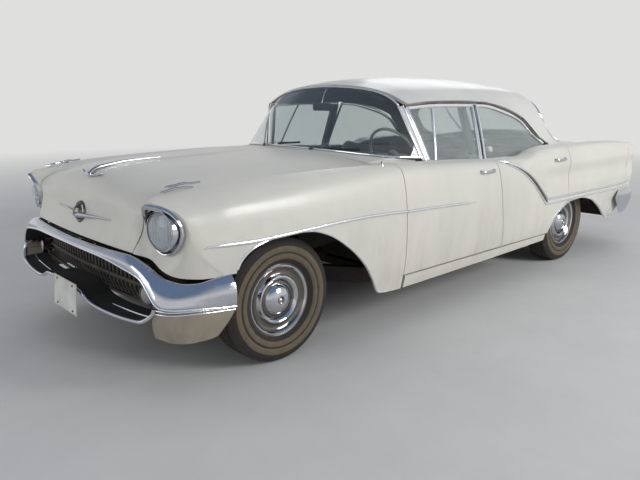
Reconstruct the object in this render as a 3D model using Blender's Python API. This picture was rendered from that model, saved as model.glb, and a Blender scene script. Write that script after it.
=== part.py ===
"""Full-size 1950s four-door sedan, built as separate body, glass, chassis and wheel pieces.

Metres, +X to the front, +Y to the car's left, +Z up, origin on the ground under the middle.
The left side is modelled and the right side is its mirror image.
"""
import math

import bmesh
import bpy
from mathutils import Matrix, Vector

# Driving dimensions of the whole car
WHEELBASE = 3.099
FRONT_AXLE_X = 1.784
REAR_AXLE_X = FRONT_AXLE_X - WHEELBASE
FRONT_TRACK = 1.499
REAR_TRACK = 1.473
TYRE_RADIUS = 0.338
TYRE_WIDTH = 0.196
RIM_RADIUS = 0.197
RIM_GAP = 0.0013
FRONT_END_X = 2.644
REAR_END_X = -2.644
BUMPER_HALF_WIDTH = 0.9705

# Clearances and wall thicknesses
SEAT = 0.0003
TURN_GAP = 0.0005
SHUT_GAP = 0.008
SKIN = 0.018
DOOR_WALL = 0.060
FRAME_WALL = 0.026
ROOF_WALL = 0.024
FLOOR_WALL = 0.012
RAIL_WALL = 0.034
GLASS_WALL = 0.005
GLASS_EDGE = 0.0006

# Places that several pieces share
DOOR_BOTTOM_Z = 0.320
SILL_TOP_Z = 0.311
NOSE_STATION = 2.13
LAMP_CENTRE = (2.412, 0.777, 0.792)
LAMP_AXIS = (0.985, 0.170, 0.0)
LAMP_HOLE = 0.104
LAMP_STEPS = 22
HOOD_EDGE_GAP = 0.008
FRAME_GAP = 0.020
GLASS_FOOT = 0.014
BOW = 0.006
PANE_INSET = 0.0028
COWL_HALF = 0.775
COWL_EDGE = 0.030
FLOOR_TOP = 0.330
TRUNK_HALF = REAR_TRACK / 2 - 0.1365
HOUSE_RADIUS = 0.400
HOUSE_OUTER = 0.870
TUNNEL_TOP = 0.450
SEAT_FLOOR = 0.446
SILL_INNER = 0.760
FLOOR_HALF = SILL_INNER - SEAT
PILLAR_OUTER = 0.840
BUFFER_IN = 0.030
BUFFER_BACK = 0.105
BUFFER_RISE = DOOR_BOTTOM_Z - SILL_TOP_Z - TURN_GAP
RAIL_MIDDLE = 0.2675
RAIL_WIDE = 0.075
RAIL_HIGH = 0.100
LOWER_ARM_Z = 0.225
BEAM_LOW = 0.215
BEAM_TOP = 0.2797
UPPER_ARM_Z = 0.455
HUB_INSET = 0.0875
HUB_FACE = FRONT_TRACK / 2 - HUB_INSET
KINGPIN_Y = FRONT_TRACK / 2 - 0.1345
DRUM_RADIUS = 0.150
FRONT_RAIL_Y = FRONT_TRACK / 2 - 0.3195
REAR_RAIL_Y = REAR_TRACK / 2 - 0.2365
MIDDLE_RAIL_Y = 0.600
IRON_HALF = 0.030
APRON_Y = FRONT_TRACK / 2 - 0.2295
APRON_WALL = 0.012
HOUSE_WALL = 0.012
GEARBOX_END = 0.560
STEER_RADIUS = 0.205
GRIP_RADIUS = 0.011
HUB_HALF = 0.020
WHEEL_HUB = Vector((0.390, 0.380, 0.976))
COLUMN_LENGTH = 0.670
FIREWALL_X = 1.005
TOE_TOP = 0.500
TAIL_TOP = 0.592
RADIATOR_TOP = 0.905
TRAY_TOP = 0.917
SCREEN_LIFT = 0.004
FIREWALL_WALL = 0.025
APRON_END = FIREWALL_X + FIREWALL_WALL + SEAT
COLUMN_WAY = Vector((0.883, 0.0, -0.469)).normalized()

SIDES = (("left", 1.0), ("right", -1.0))

# Body openings and shut lines
DOOR_FRONT = ((0.32, 0.900), (0.70, 0.916), (0.99, 0.924))
B_LINE = ((0.32, -0.180), (0.70, -0.105), (0.96, -0.058))
REAR_DOOR_REAR = ((0.32, -0.858), (0.36, -0.872), (0.432, -0.909), (0.496, -0.992),
                  (0.540, -1.080), (0.60, -1.086), (0.85, -1.060), (1.01, -1.035))
# Gap between rear door and quarter by height: wider at the slanted arch edge and at the ledge
QUARTER_GAP = ((0.560, 0.016), (0.620, SHUT_GAP), (0.940, SHUT_GAP), (1.000, 0.016))
FRONT_HINGE = (0.860, 0.935)
REAR_HINGE = (-0.130, 0.960)
HOOD_HINGE = (1.000, 1.035)
TRUNK_HINGE = (-1.825, 0.975)

# Lower edge of the side panels: x, z
LOWER_EDGE = ((-2.14, 0.545), (-2.10, 0.320), (-1.985, 0.292), (-1.876, 0.335), (-1.687, 0.441),
              (-1.514, 0.521), (-1.30, 0.555), (-1.137, 0.547), (-0.992, 0.496), (-0.909, 0.432),
              (-0.862, 0.340), (-0.850, 0.262), (-0.30, 0.250), (0.40, 0.238), (0.90, 0.232),
              (1.110, 0.250), (1.182, 0.345), (1.269, 0.459), (1.401, 0.578), (1.561, 0.675),
              (1.675, 0.708), (1.837, 0.717), (1.926, 0.706), (2.013, 0.684), (2.073, 0.650),
              (2.104, 0.615), (2.124, 0.572))

# Body side skin, front to rear. Each row: station, then x, y, z of the columns
# ledge, crown, shoulder, waist, lower, sill
SIDE_RIBS = (
    (2.62, (2.445, 0.560, 0.655), (2.425, 0.662, 0.640), (2.392, 0.765, 0.612),
     (2.348, 0.830, 0.592), (2.300, 0.880, 0.577), (2.235, 0.910, 0.568)),
    (2.48, (2.437, 0.600, 0.862), (2.468, 0.722, 0.912), (2.398, 0.866, 0.872),
     (2.350, 0.902, 0.770), (2.298, 0.917, 0.668), (2.200, 0.924, 0.574)),
    (2.30, (2.330, 0.622, 0.930), (2.310, 0.738, 0.953), (2.280, 0.884, 0.884),
     (2.258, 0.923, 0.760), (2.238, 0.930, 0.662), (2.185, 0.930, 0.574)),
    (2.13, (2.130, 0.655, 0.957), (2.130, 0.765, 0.973), (2.130, 0.904, 0.900),
     (2.130, 0.938, 0.745), (2.130, 0.940, 0.650), (2.130, 0.932, 0.572)),
    (1.90, (1.900, 0.684, 0.970), (1.900, 0.787, 0.983), (1.900, 0.909, 0.906),
     (1.900, 0.945, 0.740), (1.900, 0.945, 0.550), (1.900, 0.930, 0.400)),
    (1.60, (1.600, 0.715, 0.982), (1.600, 0.804, 0.990), (1.600, 0.912, 0.918),
     (1.600, 0.949, 0.735), (1.600, 0.946, 0.480), (1.600, 0.915, 0.250)),
    (1.20, (1.200, 0.748, 0.990), (1.200, 0.826, 0.994), (1.200, 0.915, 0.928),
     (1.200, 0.951, 0.727), (1.200, 0.944, 0.450), (1.200, 0.905, 0.232)),
    (0.93, (0.930, 0.800, 0.985), (0.930, 0.848, 0.988), (0.930, 0.918, 0.930),
     (0.930, 0.952, 0.720), (0.930, 0.944, 0.440), (0.930, 0.905, 0.230)),
    (0.40, (0.400, 0.812, 0.968), (0.400, 0.858, 0.974), (0.400, 0.928, 0.920),
     (0.400, 0.955, 0.700), (0.400, 0.946, 0.430), (0.400, 0.905, 0.236)),
    (-0.10, (-0.100, 0.818, 0.952), (-0.100, 0.866, 0.960), (-0.100, 0.935, 0.906),
     (-0.100, 0.956, 0.700), (-0.100, 0.947, 0.430), (-0.100, 0.906, 0.246)),
    (-0.50, (-0.500, 0.810, 0.962), (-0.500, 0.874, 0.980), (-0.500, 0.940, 0.928),
     (-0.500, 0.956, 0.700), (-0.500, 0.947, 0.430), (-0.500, 0.906, 0.254)),
    (-1.00, (-1.000, 0.780, 0.988), (-1.000, 0.870, 1.002), (-1.000, 0.940, 0.950),
     (-1.000, 0.956, 0.700), (-1.000, 0.946, 0.430), (-1.000, 0.904, 0.262)),
    (-1.50, (-1.500, 0.722, 0.974), (-1.500, 0.864, 1.000), (-1.500, 0.936, 0.945),
     (-1.500, 0.954, 0.690), (-1.500, 0.942, 0.430), (-1.500, 0.902, 0.280)),
    (-2.00, (-2.000, 0.640, 0.952), (-2.000, 0.854, 0.984), (-2.000, 0.924, 0.925),
     (-2.000, 0.946, 0.670), (-2.000, 0.930, 0.430), (-2.000, 0.893, 0.290)),
    (-2.34, (-2.340, 0.622, 0.925), (-2.340, 0.846, 0.958), (-2.330, 0.908, 0.905),
     (-2.300, 0.930, 0.660), (-2.300, 0.922, 0.520), (-2.300, 0.905, 0.430)),
    (-2.50, (-2.425, 0.616, 0.885), (-2.545, 0.820, 0.915), (-2.530, 0.880, 0.885),
     (-2.410, 0.918, 0.700), (-2.400, 0.915, 0.580), (-2.390, 0.905, 0.460)),
)

# Hood, front to rear. Each row: station, then x, y, z of the columns centre and flank
HOOD_RIBS = (
    (2.62, (2.500, 0.0, 0.662), (2.486, 0.330, 0.661)),
    (2.48, (2.448, 0.0, 0.885), (2.444, 0.330, 0.876)),
    (2.30, (2.340, 0.0, 0.998), (2.340, 0.330, 0.972)),
    (2.13, (2.150, 0.0, 1.016), (2.145, 0.345, 1.003)),
    (1.90, (1.900, 0.0, 1.022), (1.900, 0.355, 1.016)),
    (1.60, (1.600, 0.0, 1.032), (1.600, 0.365, 1.028)),
    (1.20, (1.240, 0.0, 1.046), (1.225, 0.380, 1.038)),
    (1.04, (1.090, 0.0, 1.040), (1.070, 0.390, 1.032)),
)

# Trunk lid, front to rear, same columns
DECK_RIBS = (
    (-1.86, (-1.860, 0.0, 0.968), (-1.860, 0.330, 0.964)),
    (-2.10, (-2.120, 0.0, 0.955), (-2.110, 0.330, 0.950)),
    (-2.30, (-2.330, 0.0, 0.925), (-2.315, 0.320, 0.920)),
    (-2.42, (-2.455, 0.0, 0.850), (-2.440, 0.310, 0.845)),
    (-2.46, (-2.485, 0.0, 0.740), (-2.470, 0.310, 0.740)),
    (-2.50, (-2.480, 0.0, 0.600), (-2.465, 0.310, 0.600)),
)
DECK_EDGE = ((-2.50, 0.600, -2.440, 0.600), (-2.46, 0.604, -2.448, 0.740),
             (-2.42, 0.608, -2.412, 0.845), (-2.30, 0.616, -2.300, 0.915),
             (-2.10, 0.624, -2.100, 0.937), (-1.86, 0.650, -1.860, 0.950))

# Roof skin, front to rear. Each row: station, then x, y, z of centre, inner, outer, rail
ROOF_RIBS = (
    (0.0, (0.655, 0.0, 1.455), (0.648, 0.30, 1.440), (0.632, 0.52, 1.400), (0.606, 0.668, 1.334)),
    (1.0, (0.440, 0.0, 1.489), (0.436, 0.30, 1.474), (0.428, 0.54, 1.428), (0.410, 0.676, 1.348)),
    (2.0, (0.080, 0.0, 1.510), (0.080, 0.30, 1.496), (0.080, 0.55, 1.444), (0.080, 0.680, 1.352)),
    (3.0, (-0.340, 0.0, 1.506), (-0.340, 0.30, 1.491), (-0.340, 0.55, 1.434),
     (-0.340, 0.680, 1.325)),
    (4.0, (-0.800, 0.0, 1.472), (-0.790, 0.31, 1.456), (-0.765, 0.55, 1.390),
     (-0.740, 0.690, 1.226)),
    (5.0, (-1.180, 0.0, 1.405), (-1.150, 0.33, 1.382), (-1.080, 0.580, 1.280),
     (-1.045, 0.770, 0.996)),
    (6.0, (-1.500, 0.0, 1.250), (-1.450, 0.36, 1.222), (-1.330, 0.620, 1.110),
     (-1.210, 0.748, 0.992)),
    (7.0, (-1.790, 0.0, 1.045), (-1.720, 0.38, 1.032), (-1.560, 0.610, 1.004),
     (-1.370, 0.728, 0.984)),
    (8.0, (-1.848, 0.0, 0.972), (-1.848, 0.33, 0.968), (-1.848, 0.540, 0.960),
     (-1.848, 0.648, 0.954)),
)

# Windscreen, centre to corner. Each row: station, then x, y, z of foot and head
SCREEN_RIBS = (
    (0.0, (0.975, 0.0, 1.040), (0.668, 0.0, 1.440)),
    (0.3, (0.962, 0.300, 1.036), (0.661, 0.260, 1.427)),
    (0.6, (0.900, 0.580, 1.024), (0.648, 0.470, 1.395)),
    (0.8, (0.795, 0.735, 1.012), (0.650, 0.575, 1.358)),
    (1.0, (0.616, 0.800, 1.000), (0.660, 0.640, 1.322)),
)

# Door-window rail along the roof edge: x, y, z
RAIL = ((0.620, 0.668, 1.316), (0.30, 0.676, 1.331), (-0.20, 0.680, 1.3245), (-0.50, 0.684, 1.272),
        (-0.74, 0.692, 1.196), (-0.90, 0.716, 1.084), (-1.020, 0.768, 0.998))
# Upper edge of the glass opening below that rail: x, z
GLASS_TOP = ((0.60, 1.290), (0.30, 1.306), (-0.20, 1.298), (-0.45, 1.250), (-0.70, 1.156),
             (-0.88, 1.040), (-0.94, 1.006))


def knots(table, column):
    """One column of a table as a plain list."""
    return [row[column] for row in table]


def smooth(xs, ys, x):
    """Monotone cubic through the knots, xs rising or falling."""
    if xs[0] > xs[-1]:
        xs = xs[::-1]
        ys = ys[::-1]
    if x <= xs[0]:
        return ys[0]
    if x >= xs[-1]:
        return ys[-1]
    k = 0
    while x > xs[k + 1]:
        k += 1
    steps = [xs[i + 1] - xs[i] for i in range(len(xs) - 1)]
    rises = [(ys[i + 1] - ys[i]) / steps[i] for i in range(len(xs) - 1)]

    def tangent(i):
        if i == 0:
            return rises[0]
        if i == len(xs) - 1:
            return rises[-1]
        before = rises[i - 1]
        after = rises[i]
        if before * after <= 0.0:
            return 0.0
        w1 = 2.0 * steps[i] + steps[i - 1]
        w2 = steps[i] + 2.0 * steps[i - 1]
        return (w1 + w2) / (w1 / before + w2 / after)

    h = steps[k]
    t = (x - xs[k]) / h
    a = 2 * t ** 3 - 3 * t ** 2 + 1
    b = t ** 3 - 2 * t ** 2 + t
    c = -2 * t ** 3 + 3 * t ** 2
    d = t ** 3 - t ** 2
    return a * ys[k] + b * h * tangent(k) + c * ys[k + 1] + d * h * tangent(k + 1)


def linear(pairs, x):
    """Straight lines through rising or falling x, value pairs."""
    if pairs[0][0] > pairs[-1][0]:
        pairs = pairs[::-1]
    if x <= pairs[0][0]:
        return pairs[0][1]
    for (x0, v0), (x1, v1) in zip(pairs, pairs[1:]):
        if x <= x1:
            return v0 + (v1 - v0) * (x - x0) / (x1 - x0)
    return pairs[-1][1]


def across(points, t):
    """Catmull-Rom through a row of points, t counted in columns."""
    last = len(points) - 1
    k = min(int(t), last - 1)
    f = t - k
    p1 = points[k]
    p2 = points[k + 1]
    p0 = points[k - 1] if k > 0 else p1 * 2 - p2
    p3 = points[k + 2] if k + 2 <= last else p2 * 2 - p1
    return 0.5 * ((p1 * 2) + (p2 - p0) * f + (p0 * 2 - p1 * 5 + p2 * 4 - p3) * f ** 2
                  + (p1 * 3 - p0 - p2 * 3 + p3) * f ** 3)


def rib(table, s):
    """The row of points of a table at station s."""
    stations = knots(table, 0)
    return [Vector([smooth(stations, [row[c][k] for row in table], s) for k in range(3)])
            for c in range(1, len(table[0]))]


def side(s, t):
    """Point of the body side skin at station s and column t."""
    return across(rib(SIDE_RIBS, s), t)


def side_t(s, z):
    """Column at which the body side skin has height z, below its crown."""
    row = rib(SIDE_RIBS, s)
    low, high = 1.0, 5.0
    for _ in range(40):
        middle = 0.5 * (low + high)
        if across(row, middle).z > z:
            low = middle
        else:
            high = middle
    return 0.5 * (low + high)


def side_y(x, z):
    """Half width of the body side at x and height z."""
    return side(x, side_t(x, z)).y


def clear_scene():
    for thing in list(bpy.data.objects):
        bpy.data.objects.remove(thing, do_unlink=True)


FINISHES = {
    # name: colour, roughness, metallic
    "paint": ((0.78, 0.75, 0.67), 0.35, 0.0),
    "chrome": ((0.80, 0.80, 0.82), 0.12, 1.0),
    "glass": ((0.55, 0.62, 0.62), 0.05, 0.0),
    "tyre": ((0.05, 0.045, 0.04), 0.85, 0.0),
    "chassis": ((0.05, 0.05, 0.05), 0.60, 0.3),
    "iron": ((0.16, 0.17, 0.16), 0.60, 0.6),
    "cloth": ((0.20, 0.22, 0.22), 0.90, 0.0),
    "trim": ((0.14, 0.16, 0.17), 0.55, 0.0),
    "lamp": ((0.60, 0.64, 0.66), 0.10, 0.4),
    "red": ((0.45, 0.03, 0.02), 0.20, 0.0),
}


def finish(name):
    """Material of one finish, made once."""
    if name in bpy.data.materials:
        return bpy.data.materials[name]
    colour, roughness, metallic = FINISHES[name]
    material = bpy.data.materials.new(name)
    material.use_nodes = True
    shader = material.node_tree.nodes["Principled BSDF"]
    shader.inputs["Base Color"].default_value = (*colour, 1.0)
    shader.inputs["Roughness"].default_value = roughness
    shader.inputs["Metallic"].default_value = metallic
    return material


def build_object(name, points, faces, coat, origin=(0.0, 0.0, 0.0)):
    """Closed mesh object with its faces turned outward."""
    base = Vector(origin)
    mesh = bpy.data.meshes.new(name)
    mesh.from_pydata([Vector(p) - base for p in points], [], faces)
    work = bmesh.new()
    work.from_mesh(mesh)
    bmesh.ops.remove_doubles(work, verts=work.verts, dist=1e-6)
    bmesh.ops.recalc_face_normals(work, faces=work.faces)
    if work.calc_volume(signed=True) < 0.0:
        bmesh.ops.reverse_faces(work, faces=work.faces)
    work.to_mesh(mesh)
    work.free()
    thing = bpy.data.objects.new(name, mesh)
    thing.location = base
    bpy.context.collection.objects.link(thing)
    mesh.materials.append(finish(coat))
    mesh.shade_smooth()
    mesh.set_sharp_from_angle(angle=math.radians(40.0))
    return thing


def sheet(name, grid, wall, coat, keep=None, inward=None, origin=(0.0, 0.0, 0.0)):
    """Closed shell from a grid of outer points; keep(i, j) leaves windows open."""
    rows = len(grid)
    cols = len(grid[0])
    depth = wall if callable(wall) else (lambda i, j: wall)
    keep = keep or (lambda i, j: True)
    kept = {(i, j) for i in range(rows - 1) for j in range(cols - 1) if keep(i, j)}
    inner = []
    normals = [[surface_normal(grid, i, j) for j in range(cols)] for i in range(rows)]
    core = Vector((0.0, 0.0, 0.6))
    lean = sum(normals[i][j].dot(grid[i][j] - core) for i in range(rows) for j in range(cols))
    for i in range(rows):
        for j in range(cols):
            push = inward(i, j) if inward else -normals[i][j] * (1.0 if lean > 0 else -1.0)
            inner.append(grid[i][j] + push * depth(i, j))
    points = [p for row in grid for p in row] + inner
    shift = rows * cols

    def index(i, j):
        return i * cols + j

    faces = []
    for i, j in kept:
        quad = (index(i, j), index(i + 1, j), index(i + 1, j + 1), index(i, j + 1))
        faces.append(quad)
        faces.append(tuple(k + shift for k in reversed(quad)))
    for i, j in kept:
        edges = (((i, j), (i + 1, j), (i, j - 1)), ((i + 1, j), (i + 1, j + 1), (i + 1, j)),
                 ((i + 1, j + 1), (i, j + 1), (i, j + 1)), ((i, j + 1), (i, j), (i - 1, j)))
        for start, end, neighbour in edges:
            if neighbour not in kept:
                a = index(*start)
                b = index(*end)
                faces.append((b, a, a + shift, b + shift))
    used = sorted({k for face in faces for k in face})
    number = {k: n for n, k in enumerate(used)}
    faces = [tuple(number[k] for k in face) for face in faces]
    return build_object(name, [points[k] for k in used], faces, coat, origin)


def surface_normal(grid, i, j):
    """Unit normal of a grid at one of its points."""
    rows = len(grid)
    cols = len(grid[0])
    along = grid[min(i + 1, rows - 1)][j] - grid[max(i - 1, 0)][j]
    over = grid[i][min(j + 1, cols - 1)] - grid[i][max(j - 1, 0)]
    return along.cross(over).normalized()


def mirrored(thing, name):
    """Right-hand copy of a left-hand object."""
    mesh = thing.data.copy()
    mesh.name = name
    mesh.transform(Matrix.Diagonal((1.0, -1.0, 1.0, 1.0)))
    mesh.flip_normals()
    copy = bpy.data.objects.new(name, mesh)
    copy.location = (thing.location.x, -thing.location.y, thing.location.z)
    bpy.context.collection.objects.link(copy)
    for modifier in thing.modifiers:
        other = modifier.object.name.replace("left", "right")
        boolean(copy, bpy.data.objects[other], modifier.operation)
    return copy


def boolean(thing, tool, operation):
    """Boolean modifier with a tool that is not a piece itself."""
    modifier = thing.modifiers.new(operation.lower(), "BOOLEAN")
    modifier.operation = operation
    modifier.solver = "EXACT"
    modifier.object = tool
    tool.hide_render = True
    tool.display_type = "WIRE"


def guide(tool):
    """Mark an object as a tool of Booleans only."""
    tool.hide_render = True
    tool.display_type = "WIRE"
    return tool


def prism(name, outline, axis, start, stop, coat, origin=(0.0, 0.0, 0.0)):
    """Outline of two coordinates pulled along x, y or z from start to stop."""
    def place(a, b, c):
        return {"x": (c, a, b), "y": (a, c, b), "z": (a, b, c)}[axis]
    count = len(outline)
    points = [place(a, b, start) for a, b in outline] + [place(a, b, stop) for a, b in outline]
    faces = [tuple(range(count)), tuple(range(2 * count - 1, count - 1, -1))]
    for k in range(count):
        n = (k + 1) % count
        faces.append((k, n, n + count, k + count))
    return build_object(name, points, faces, coat, origin)


def box(name, low, high, coat, origin=(0.0, 0.0, 0.0)):
    """Block from its lowest to its highest corner."""
    outline = ((low[0], low[1]), (high[0], low[1]), (high[0], high[1]), (low[0], high[1]))
    return prism(name, outline, "z", low[2], high[2], coat, origin)


def side_box(name, sign, low, high, coat):
    """Box on one side of the car; low and high are given for the left side."""
    near = min(low[1] * sign, high[1] * sign)
    far = max(low[1] * sign, high[1] * sign)
    return guide(box(name, (low[0], near, low[2]), (high[0], far, high[2]), coat))


def turned(name, profile, centre, axis, coat, steps=32, ring=False, origin=None):
    """Turned solid: profile of distance along the axis and radius, ring for a closed profile."""
    way = Vector(axis).normalized()
    side_way = way.orthogonal().normalized()
    up_way = way.cross(side_way)
    centre = Vector(centre)
    points = []
    faces = []
    count = len(profile)
    for k in range(steps):
        angle = 2.0 * math.pi * k / steps
        radial = side_way * math.cos(angle) + up_way * math.sin(angle)
        points += [centre + way * a + radial * r for a, r in profile]
    spans = count if ring else count - 1
    for k in range(steps):
        n = (k + 1) % steps
        for m in range(spans):
            q = (m + 1) % count
            corners = [k * count + m, k * count + q, n * count + q, n * count + m]
            faces.append(corners)
    if not ring:
        for m in (0, count - 1):
            if profile[m][1] > 1e-6:
                faces.append([k * count + m for k in range(steps)])
    clean = []
    for face in faces:
        seen = []
        for k in face:
            if not any((Vector(points[k]) - Vector(points[s])).length < 1e-6 for s in seen) or len(face) > 4:
                seen.append(k)
        if len(seen) >= 3:
            clean.append(seen)
    return build_object(name, points, clean, coat, origin if origin is not None else centre)


def swept(name, path, profile, coat, origin=(0.0, 0.0, 0.0), up=(0.0, 0.0, 1.0)):
    """Profile of side and height carried along a path of points, with flat ends."""
    path = [Vector(p) for p in path]
    up = Vector(up)
    points = []
    count = len(profile)
    for k, place in enumerate(path):
        before = path[max(k - 1, 0)]
        after = path[min(k + 1, len(path) - 1)]
        way = (after - before).normalized()
        side_way = up.cross(way).normalized()
        lift = way.cross(side_way)
        points += [place + side_way * a + lift * b for a, b in profile]
    faces = [tuple(range(count)), tuple(range(len(points) - 1, len(points) - 1 - count, -1))]
    for k in range(len(path) - 1):
        for m in range(count):
            n = (m + 1) % count
            faces.append((k * count + m, k * count + n, (k + 1) * count + n, (k + 1) * count + m))
    return build_object(name, points, faces, coat, origin)


def rectangle(width, height):
    """Profile of a bar, centred."""
    return ((-width / 2, -height / 2), (width / 2, -height / 2),
            (width / 2, height / 2), (-width / 2, height / 2))


def circle(radius, steps=8):
    """Profile of a round bar."""
    return [(radius * math.cos(2 * math.pi * k / steps), radius * math.sin(2 * math.pi * k / steps))
            for k in range(steps)]


def spread(low, high, count):
    """Evenly spaced values from low to high."""
    return [low + (high - low) * k / (count - 1) for k in range(count)]


def side_row(where, columns):
    """Row of the side skin at a station, or along a line x(z), down to its lower edge."""
    start = where(0.7) if callable(where) else where
    end = 5.0
    if start < NOSE_STATION:
        end = side_t(start, linear(LOWER_EDGE, start))
    row = []
    for t in columns:
        u = t * end / 5.0
        s = start
        if callable(where):
            for _ in range(4):
                s = where(side(s, u).z)
        row.append(side(s, u))
    return row


def fender():
    """Front fender from the lamp to the front door, open over the wheel."""
    rows = (2.62, 2.575, 2.53, 2.48, 2.40, 2.30, 2.21, 2.13, 2.115, 2.09, 2.05, 1.98, 1.89, 1.78,
            1.66, 1.54, 1.42, 1.32, 1.23, 1.15, 1.06)
    columns = (0.0, 0.5, 1.0, 1.4, 1.8, 2.3, 3.0, 3.6, 4.3, 5.0)
    grid = [side_row(s, columns) for s in rows]
    grid.append(side_row(lambda z: linear(DOOR_FRONT, z) + SHUT_GAP, columns))
    left = sheet("fender_left", grid, SKIN, "paint")
    hole = guide(turned("lamp_hole_left", ((-0.20, 0.0), (-0.20, LAMP_HOLE), (0.20, LAMP_HOLE), (0.20, 0.0)),
                        LAMP_CENTRE, LAMP_AXIS, "paint", LAMP_STEPS))
    guide(mirrored(hole, "lamp_hole_right"))
    boolean(left, hole, "DIFFERENCE")
    bracket = guide(box("fender_bracket_left", (1.600, 0.728, TRAY_TOP + SEAT), (1.660, 0.762, 0.976), "paint"))
    guide(mirrored(bracket, "fender_bracket_right"))
    boolean(left, bracket, "UNION")
    mirrored(left, "fender_right")


def hood_point(s, t):
    """Point of the hood at station s, t from 0 at the centre to 2 at its edge."""
    centre, flank = rib(HOOD_RIBS, s)
    edge = side(s, 0.0) - Vector((0.0, HOOD_EDGE_GAP, 0.0))
    mirror = Vector((flank.x, -flank.y, flank.z))
    row = [mirror, centre, flank, edge]
    return across(row, t + 1.0)


def hood():
    """Hood over the engine and down between the lamps to the bumper."""
    rows = (2.62, 2.575, 2.53, 2.48, 2.43, 2.38, 2.30, 2.21, 2.10, 1.90, 1.70, 1.50, 1.30, 1.15, 1.04)
    steps = (0.0, 0.5, 1.0, 1.35, 1.7, 2.0)
    half = [[hood_point(s, t) for t in steps] for s in rows]
    grid = [[Vector((p.x, -p.y, p.z)) for p in reversed(row[1:])] + row for row in half]
    panel = sheet("hood", grid, SKIN, "paint", origin=(HOOD_HINGE[0], 0.0, HOOD_HINGE[1]))
    for side_name, sign in SIDES:
        pad = side_box("hood_pad_" + side_name, sign, (2.175, 0.230, RADIATOR_TOP + TURN_GAP),
                       (2.215, 0.270, 0.990), "paint")
        boolean(panel, pad, "UNION")


def trunk_lid():
    """Trunk lid from the rear window down to the bumper."""
    rows = (-1.86, -1.98, -2.10, -2.21, -2.30, -2.37, -2.42, -2.44, -2.46, -2.48, -2.50)
    steps = (0.0, 0.5, 1.0, 1.5, 2.0)
    stations = knots(DECK_EDGE, 0)
    half = []
    for s in rows:
        centre, flank = rib(DECK_RIBS, s)
        edge = Vector((smooth(stations, knots(DECK_EDGE, 2), s), smooth(stations, knots(DECK_EDGE, 1), s),
                       smooth(stations, knots(DECK_EDGE, 3), s)))
        mirror = Vector((flank.x, -flank.y, flank.z))
        half.append([across([mirror, centre, flank, edge], t + 1.0) for t in steps])
    grid = [[Vector((p.x, -p.y, p.z)) for p in reversed(row[1:])] + row for row in half]
    sheet("trunk_lid", grid, SKIN, "paint", origin=(TRUNK_HINGE[0], 0.0, TRUNK_HINGE[1]))


def quarter():
    """Rear quarter with the fin, from the rear door to the tail."""
    rows = (-1.14, -1.22, -1.30, -1.40, -1.51, -1.60, -1.69, -1.78, -1.88, -1.985, -2.05, -2.10,
            -2.14, -2.22, -2.30, -2.38, -2.44, -2.50)
    columns = (0.0, 0.5, 1.0, 1.4, 1.8, 2.3, 3.0, 3.6, 4.3, 5.0)
    grid = [side_row(lambda z: linear(REAR_DOOR_REAR, z) - linear(QUARTER_GAP, z), columns)]
    for s in rows:
        row = [side(s, t * quarter_end(s) / 5.0) for t in columns]
        grid.append(row)
    left = sheet("quarter_left", grid, SKIN, "paint")
    bracket = side_box("quarter_bracket_left", 1, (REAR_AXLE_X - 0.03, HOUSE_OUTER + SEAT, 0.715),
                       (REAR_AXLE_X + 0.03, 0.942, 0.745), "paint")
    guide(mirrored(bracket, "quarter_bracket_right"))
    boolean(left, bracket, "UNION")
    mirrored(left, "quarter_right")


def quarter_end(s):
    """Column of the quarter's lower edge."""
    z = linear(LOWER_EDGE, max(s, -2.14))
    return side_t(s, z)


def upper_point(x, w, shift):
    """Point of the side glass plane over the belt: w runs from 0 at the ledge to 1 at the rail."""
    ledge = side(x, 0.0)
    top = linear([(r[0], r[2]) for r in RAIL], x + shift)
    wide = linear([(r[0], r[1]) for r in RAIL], x + shift)
    bow = BOW * 4.0 * w * (1.0 - w)
    return Vector((x + shift * w, ledge.y + (wide - ledge.y) * w + bow, ledge.z + (top - ledge.z) * w))


def door_grid(belt, shifts, front, rear, columns):
    """Outer points of a door: three rows of columns above the belt, the rest below it."""
    grid = []
    for x, shift in zip(belt, shifts):
        share = (belt[0] - x) / (belt[0] - belt[-1])
        ledge = side(x, 0.0)
        rail = upper_point(x, 1.0, shift)
        height = rail.z - ledge.z
        glass = linear(GLASS_TOP, x + shift)
        high = min((glass - ledge.z) / height, 0.7) if height < 0.1 else (glass - ledge.z) / height
        low = min(GLASS_FOOT / height, 0.3)
        row = [rail, upper_point(x, high, shift), upper_point(x, low, shift), ledge]
        for t in columns:
            s = x
            for _ in range(4):
                z = side(s, t).z
                s = front(z) + (rear(z) - front(z)) * share
            row.append(side(s, t))
        s = front(DOOR_BOTTOM_Z) + (rear(DOOR_BOTTOM_Z) - front(DOOR_BOTTOM_Z)) * share
        row.append(Vector((s, side_y(s, DOOR_BOTTOM_Z), DOOR_BOTTOM_Z)))
        grid.append(row)
    return grid


def shut_half(z):
    """Half of the gap between the doors, wider at the window frames."""
    return linear(((0.90, SHUT_GAP / 2), (0.97, FRAME_GAP / 2)), z)


DOOR_COLUMNS = (0.5, 1.0, 1.4, 1.8, 2.3, 3.0, 3.6, 4.3)
DOOR_WALLS = (0.020, 0.020, 0.020, 0.016, 0.016, 0.018, 0.026, 0.040, 0.052, DOOR_WALL, DOOR_WALL,
              DOOR_WALL, DOOR_WALL)


def door_inward(grid):
    """Direction in which each point of a door is thickened."""
    def way(i, j):
        if j >= 10 or j <= 2:
            return Vector((0.0, -1.0, 0.0))
        normal = surface_normal(grid, i, j)
        if normal.y < 0.0 or normal.z < -0.5:
            normal = -normal
        return Vector((0.0, -normal.y, -normal.z)).normalized()
    return way


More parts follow.
